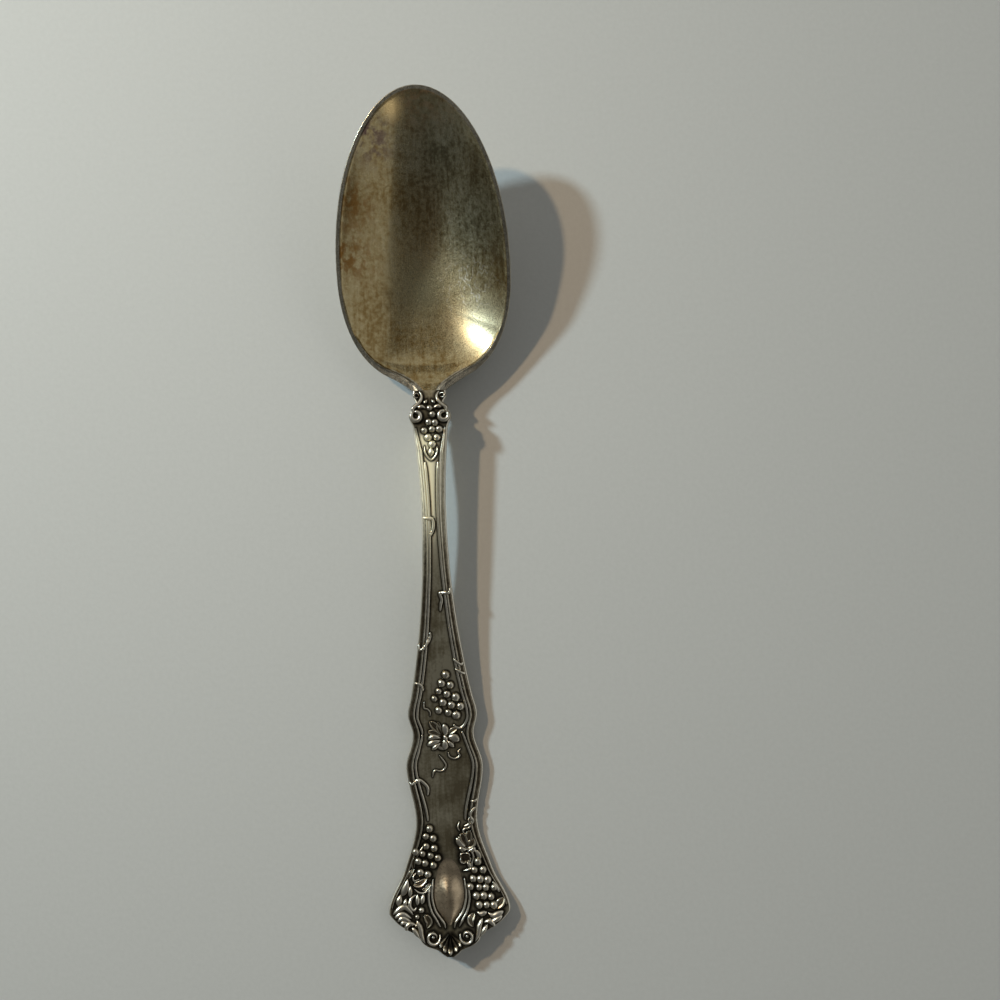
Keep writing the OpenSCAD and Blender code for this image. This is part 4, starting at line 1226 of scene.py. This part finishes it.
def relief_metal():
    """Struck ornament: bright where it is rubbed, black in the hollows, gilt by wear along the stem,
    where a painted sheen makes the stem's left side lighter.
    """
    material, tree, where, wear = metal("worn_relief")
    worn = varied(wear, noise(where, scale=1100, detail=5), 0.08)
    worn = varied(worn, noise(where, scale=160, detail=3), 0.08)
    # Along the stem the colour turns to rubbed gilt with a painted sheen, lighter on the stem's left
    rub_and_sheen = math_node("MULTIPLY", stem_rub_and_sheen(where), remap(worn, 0.15, 0.6))
    colour = mix(rub_and_sheen, ramp(worn, RELIEF_STOPS), BRIGHT)
    rough = remap(worn, 0.1, 0.9, 0.42, 0.31)
    rough = math_node("MAXIMUM", rough, math_node("MULTIPLY", rub_and_sheen, 0.5))
    pits = noise(where, scale=3200, detail=3)
    normal = bump(pits, strength=0.12, distance=0.00004)
    connect(tree, Base_Color=colour, Roughness=rough, Normal=normal)
    return material


def blank_metal():
    """Plain ground of the handle: toned grey-brown, cloudy, darker beside the ornament."""
    material, tree, where, wear = metal("toned_blank")
    cloud = noise(where, scale=95, rough=0.58)
    grain = noise(where, scale=1500)
    streak = noise(where, scale=1400, detail=3, stretch=(1, 0.08, 1))
    shade = varied(varied(cloud, grain, 0.05), streak, 0.06)
    # Along the stem the ground turns to gilt with a painted sheen, lighter on the stem's left
    rub_and_sheen = stem_rub_and_sheen(where)
    toned = mix(rub_and_sheen, ramp(shade, BLANK_STOPS), BRIGHT)
    colour = mix(remap(wear, 0.04, 0.68), GRIME, toned)
    colour = mix(remap(wear, 0.85, 1), colour, SILVER)
    rough = remap(shade, NOISE_LOW, NOISE_HIGH, 0.46, 0.34)
    rough = math_node("MAXIMUM", rough, math_node("MULTIPLY", rub_and_sheen, 0.72))
    normal = bump(grain, strength=0.1, distance=0.00005)
    connect(tree, Base_Color=colour, Roughness=rough, Normal=normal)
    return material


def boss_metal():
    """Polished boss with a coppery toning."""
    material, tree, where, wear = metal("polished_boss")
    cloud = noise(where, scale=260)
    grain = noise(where, scale=1800)
    colour = mix(remap(wear, 0, 0.35), OXIDE, ramp(cloud, BOSS_STOPS))
    rough = remap(grain, NOISE_LOW, NOISE_HIGH, 0.26, 0.38)
    normal = bump(grain, strength=0.08, distance=0.00005)
    connect(tree, Base_Color=colour, Roughness=rough, Normal=normal)
    return material


def bowl_metal():
    """Bowl: mottled golden-brown toning in the hollow, grey silver on the rim and the back, with a
    painted glint near the tip and a pale patch painted under the lamp's highlight.
    """
    material, tree, where, tone = metal("toned_bowl")
    spots = noise(where, scale=950, detail=6, rough=0.62)
    cloud = noise(where, scale=90, rough=0.6)
    streak = noise(where, scale=1500, stretch=(1, 0.05, 0.3))
    grain = noise(where, scale=9000, detail=2)
    shade = varied(varied(spots, cloud, 0.1), streak, 0.09)
    gold = mix(near(where, *OLIVE_AT), ramp(shade, TAN_STOPS), OLIVE)
    blotch = remap(noise(where, scale=420, rough=0.6, shift=(3, 1, 0)), 0.42, 0.6)
    for place, colour in BLOTCHES:
        gold = mix(math_node("MULTIPLY", near(where, *place), blotch), gold, colour)
    ash = ramp(shade, ASH_STOPS)
    # Ash tones, the painted glint near the tip and the pale patch painted under the lamp's highlight
    for place, colour in ((FRONT_ASH_AT, ash), (TIP_ASH_AT, ash), (PAINTED_GLINT_AT, PAINTED_GLINT), (PAINTED_HIGHLIGHT_AT, PAINTED_HIGHLIGHT_TINT)):
        gold = mix(near(where, *place), gold, colour)

    # Scratches lie where a drawn-out noise passes its middle value
    tangle = noise(where, scale=330, detail=2, rough=0.5, stretch=(1, 0.6, 1), shift=(1, 5, 0))
    off_line = math_node("ABSOLUTE", math_node("SUBTRACT", tangle, 0.5))
    scratch = remap(off_line, 0, SCRATCH_W, 1, 0)
    scratch = math_node("MULTIPLY", scratch, near(where, *SCRATCHED_AT))
    gold = mix(scratch, gold, SILVER)

    # The tone is 1 in the hollow, 0 on the rim and the back, and below 0 in the grooves
    colour = mix(remap(tone, 0, 1), ramp(shade, GREY_STOPS), gold)
    colour = mix(remap(tone, -1, 0, 1, 0), colour, OXIDE)
    rough = remap(grain, 0.4, 0.6, 0.13, 0.5)
    normal = bump(streak, strength=0.08, distance=0.00003)
    connect(tree, Base_Color=colour, Roughness=rough, Normal=normal)
    return material


# Assembly
def add_object(name, data):
    made = bpy.data.objects.new(name, data)
    bpy.context.scene.collection.objects.link(made)
    return made


def make_piece(cad_node, form, material):
    """Makes a form into a mesh that stands for a CAD node."""
    points, faces, wear = form
    in_metres = np.stack([points[:, 0], LENGTH / 2 - points[:, 1], points[:, 2]], axis=1) * MM
    mesh = bpy.data.meshes.new(cad_node + "_silver")
    mesh.from_pydata(in_metres.tolist(), [], faces)
    values = mesh.attributes.new("wear", "FLOAT", "POINT").data
    values.foreach_set("value", np.ascontiguousarray(wear, "f"))
    shaped = bmesh.new()
    shaped.from_mesh(mesh)
    bmesh.ops.recalc_face_normals(shaped, faces=shaped.faces)
    shaped.to_mesh(mesh)
    shaped.free()
    mesh.polygons.foreach_set("use_smooth", [True] * len(mesh.polygons))
    mesh.set_sharp_from_angle(angle=math.radians(60))
    mesh.materials.append(material)
    piece = add_object(cad_node + "_silver", mesh)
    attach(piece, "root")
    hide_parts(cad_node)


def singles(*makers):
    return {maker.__name__: maker() for maker in makers}


def pairs(*makers):
    sides = (("_left", LEFT), ("_right", RIGHT))
    return {maker.__name__ + name: maker(side) for maker in makers for name, side in sides}


def ornaments():
    """Every ornament's form by the name of its CAD node, which is also its maker's name."""
    return {
        **pairs(edge_thread, upper_thread, lower_thread),
        **singles(neck_ears),
        **pairs(neck_scroll),
        **singles(neck_grapes, neck_pendant, middle_grapes, middle_leaf, middle_tendrils),
        **singles(left_grapes, right_grapes, left_vine_leaf, right_vine_leaf),
        **singles(left_corner_leaf, right_corner_leaf),
        "left_acanthus": acanthus(LEFT),
        "right_acanthus": acanthus(RIGHT),
        **singles(medallion),
        **pairs(lyre_thread, foot_scroll),
        **singles(tip_shell, border_ties_left, border_ties_right),
    }


# A point of an ornament below this height over the handle belongs to its foot
FOOT_MARGIN = 0.05


def build_spoon():
    relief, boss = relief_metal(), boss_metal()
    feet = []
    for cad_node, form in ornaments().items():
        if cad_node == "medallion":
            make_piece(cad_node, form, boss)
            continue
        points = form[0]
        feet.append(points[points[:, 2] < top_h(points[:, 1]) + FOOT_MARGIN])
        make_piece(cad_node, form, relief)
    make_piece("handle", handle_form(np.vstack(feet)), blank_metal())
    make_piece("bowl", bowl_form(), bowl_metal())


# Stage, in metres
FLOOR_SIZE = 3.0
FLOOR_COLOUR = (0.592, 0.606, 0.6)
FLOOR_DARK = tuple(0.96 * c for c in FLOOR_COLOUR)
LAMP_AIM = Vector((0, 0.05, 0.005))
LAMP_SPREAD = math.radians(120)


def pale_floor():
    half = FLOOR_SIZE / 2
    corners = [(-half, -half, 0), (half, -half, 0), (half, half, 0), (-half, half, 0)]
    mesh = bpy.data.meshes.new("floor")
    mesh.from_pydata(corners, [], [(0, 1, 2, 3)])
    material, tree, where = new_material("pale_paper")
    tree.nodes["Principled BSDF"].inputs["Roughness"].default_value = 0.85
    fibre = noise(where, scale=900, detail=5)
    colour = ramp(fibre, [(NOISE_LOW, FLOOR_DARK), (NOISE_HIGH, FLOOR_COLOUR)])
    connect(tree, Base_Color=colour, Normal=bump(fibre, strength=0.15, distance=0.0002))
    mesh.materials.append(material)
    floor = add_object("floor", mesh)


def lamp(name, towards, distance, size, power, colour):
    """Round lamp in a direction from the bowl, turned towards it."""
    data = bpy.data.lights.new(name, "AREA")
    data.shape = "DISK"
    data.size = size
    data.energy = power
    data.color = colour
    data.spread = LAMP_SPREAD
    made = add_object(name, data)
    direction = Vector(towards).normalized()
    made.location = LAMP_AIM + distance * direction
    made.rotation_euler = direction.to_track_quat("Z", "Y").to_euler()


# The room: dark overhead and behind, a lit wall on the right and beyond the tip.
# A place in it is its distance to the right or ahead for each unit of height.
WALL_LIGHT = (0.6, 0.59, 0.55)
ROOM_SHADE = (0.1, 0.1, 0.095)
BACKGROUND = (0.5, 0.5, 0.48)
RIGHT_WALL = 0.93
WALL_SWING = 0.46
SWING_AT = -0.05
SWING_RATE = 3.2
WALL_BLUR = 0.06
FAR_WALL_FROM = 1.0
FAR_WALL_TO = 1.22


def room():
    world = bpy.data.worlds.new("room")
    bpy.context.scene.world = world
    world.use_nodes = True
    tree = world.node_tree
    ray = tree.nodes.new("ShaderNodeTexCoord").outputs["Generated"]
    x, y, z = node("SeparateXYZ", {0: ray}).outputs
    height = math_node("MAXIMUM", z, 0.02)
    right = math_node("DIVIDE", x, height)
    ahead = math_node("DIVIDE", y, height)
    bend = math_node("MULTIPLY", math_node("SUBTRACT", ahead, SWING_AT), SWING_RATE)
    swing = math_node("MULTIPLY", math_node("TANH", bend), WALL_SWING)
    wall_edge = math_node("SUBTRACT", RIGHT_WALL, swing)
    on_right = remap(math_node("SUBTRACT", right, wall_edge), -WALL_BLUR, WALL_BLUR)
    beyond = remap(ahead, FAR_WALL_FROM, FAR_WALL_TO)
    light = mix(math_node("MAXIMUM", on_right, beyond), ROOM_SHADE, WALL_LIGHT)
    seen = tree.nodes.new("ShaderNodeLightPath").outputs["Is Camera Ray"]
    tree.links.new(mix(seen, light, BACKGROUND), tree.nodes["Background"].inputs["Color"])


# The camera looks straight down on the table
CAMERA_AT = (0.0163, 0.0079, 0.260)
CAMERA_TURN = math.radians(-2.137)
FOCAL_PIXELS = 1035.4
IMAGE_PIXELS = 1000
SENSOR_MM = 36


def camera():
    data = bpy.data.cameras.new("camera")
    data.sensor_fit = "HORIZONTAL"
    data.sensor_width = SENSOR_MM
    data.lens = SENSOR_MM * FOCAL_PIXELS / IMAGE_PIXELS
    data.clip_start = 0.01
    made = add_object("camera", data)
    made.location = CAMERA_AT
    made.rotation_euler = (0, 0, CAMERA_TURN)
    bpy.context.scene.camera = made


bpy.context.scene.view_settings.view_transform = "Standard"
camera()
build_spoon()
pale_floor()
lamp("warm_lamp", towards=(-1.2, 0.93, 1.32), distance=0.72, size=0.035, power=0.77, colour=(1, 0.7, 0.4))
lamp("cool_lamp", towards=(-1.78, 1.05, 1.28), distance=0.78, size=0.06, power=1.72,
     colour=(0.72, 0.92, 1))
room()
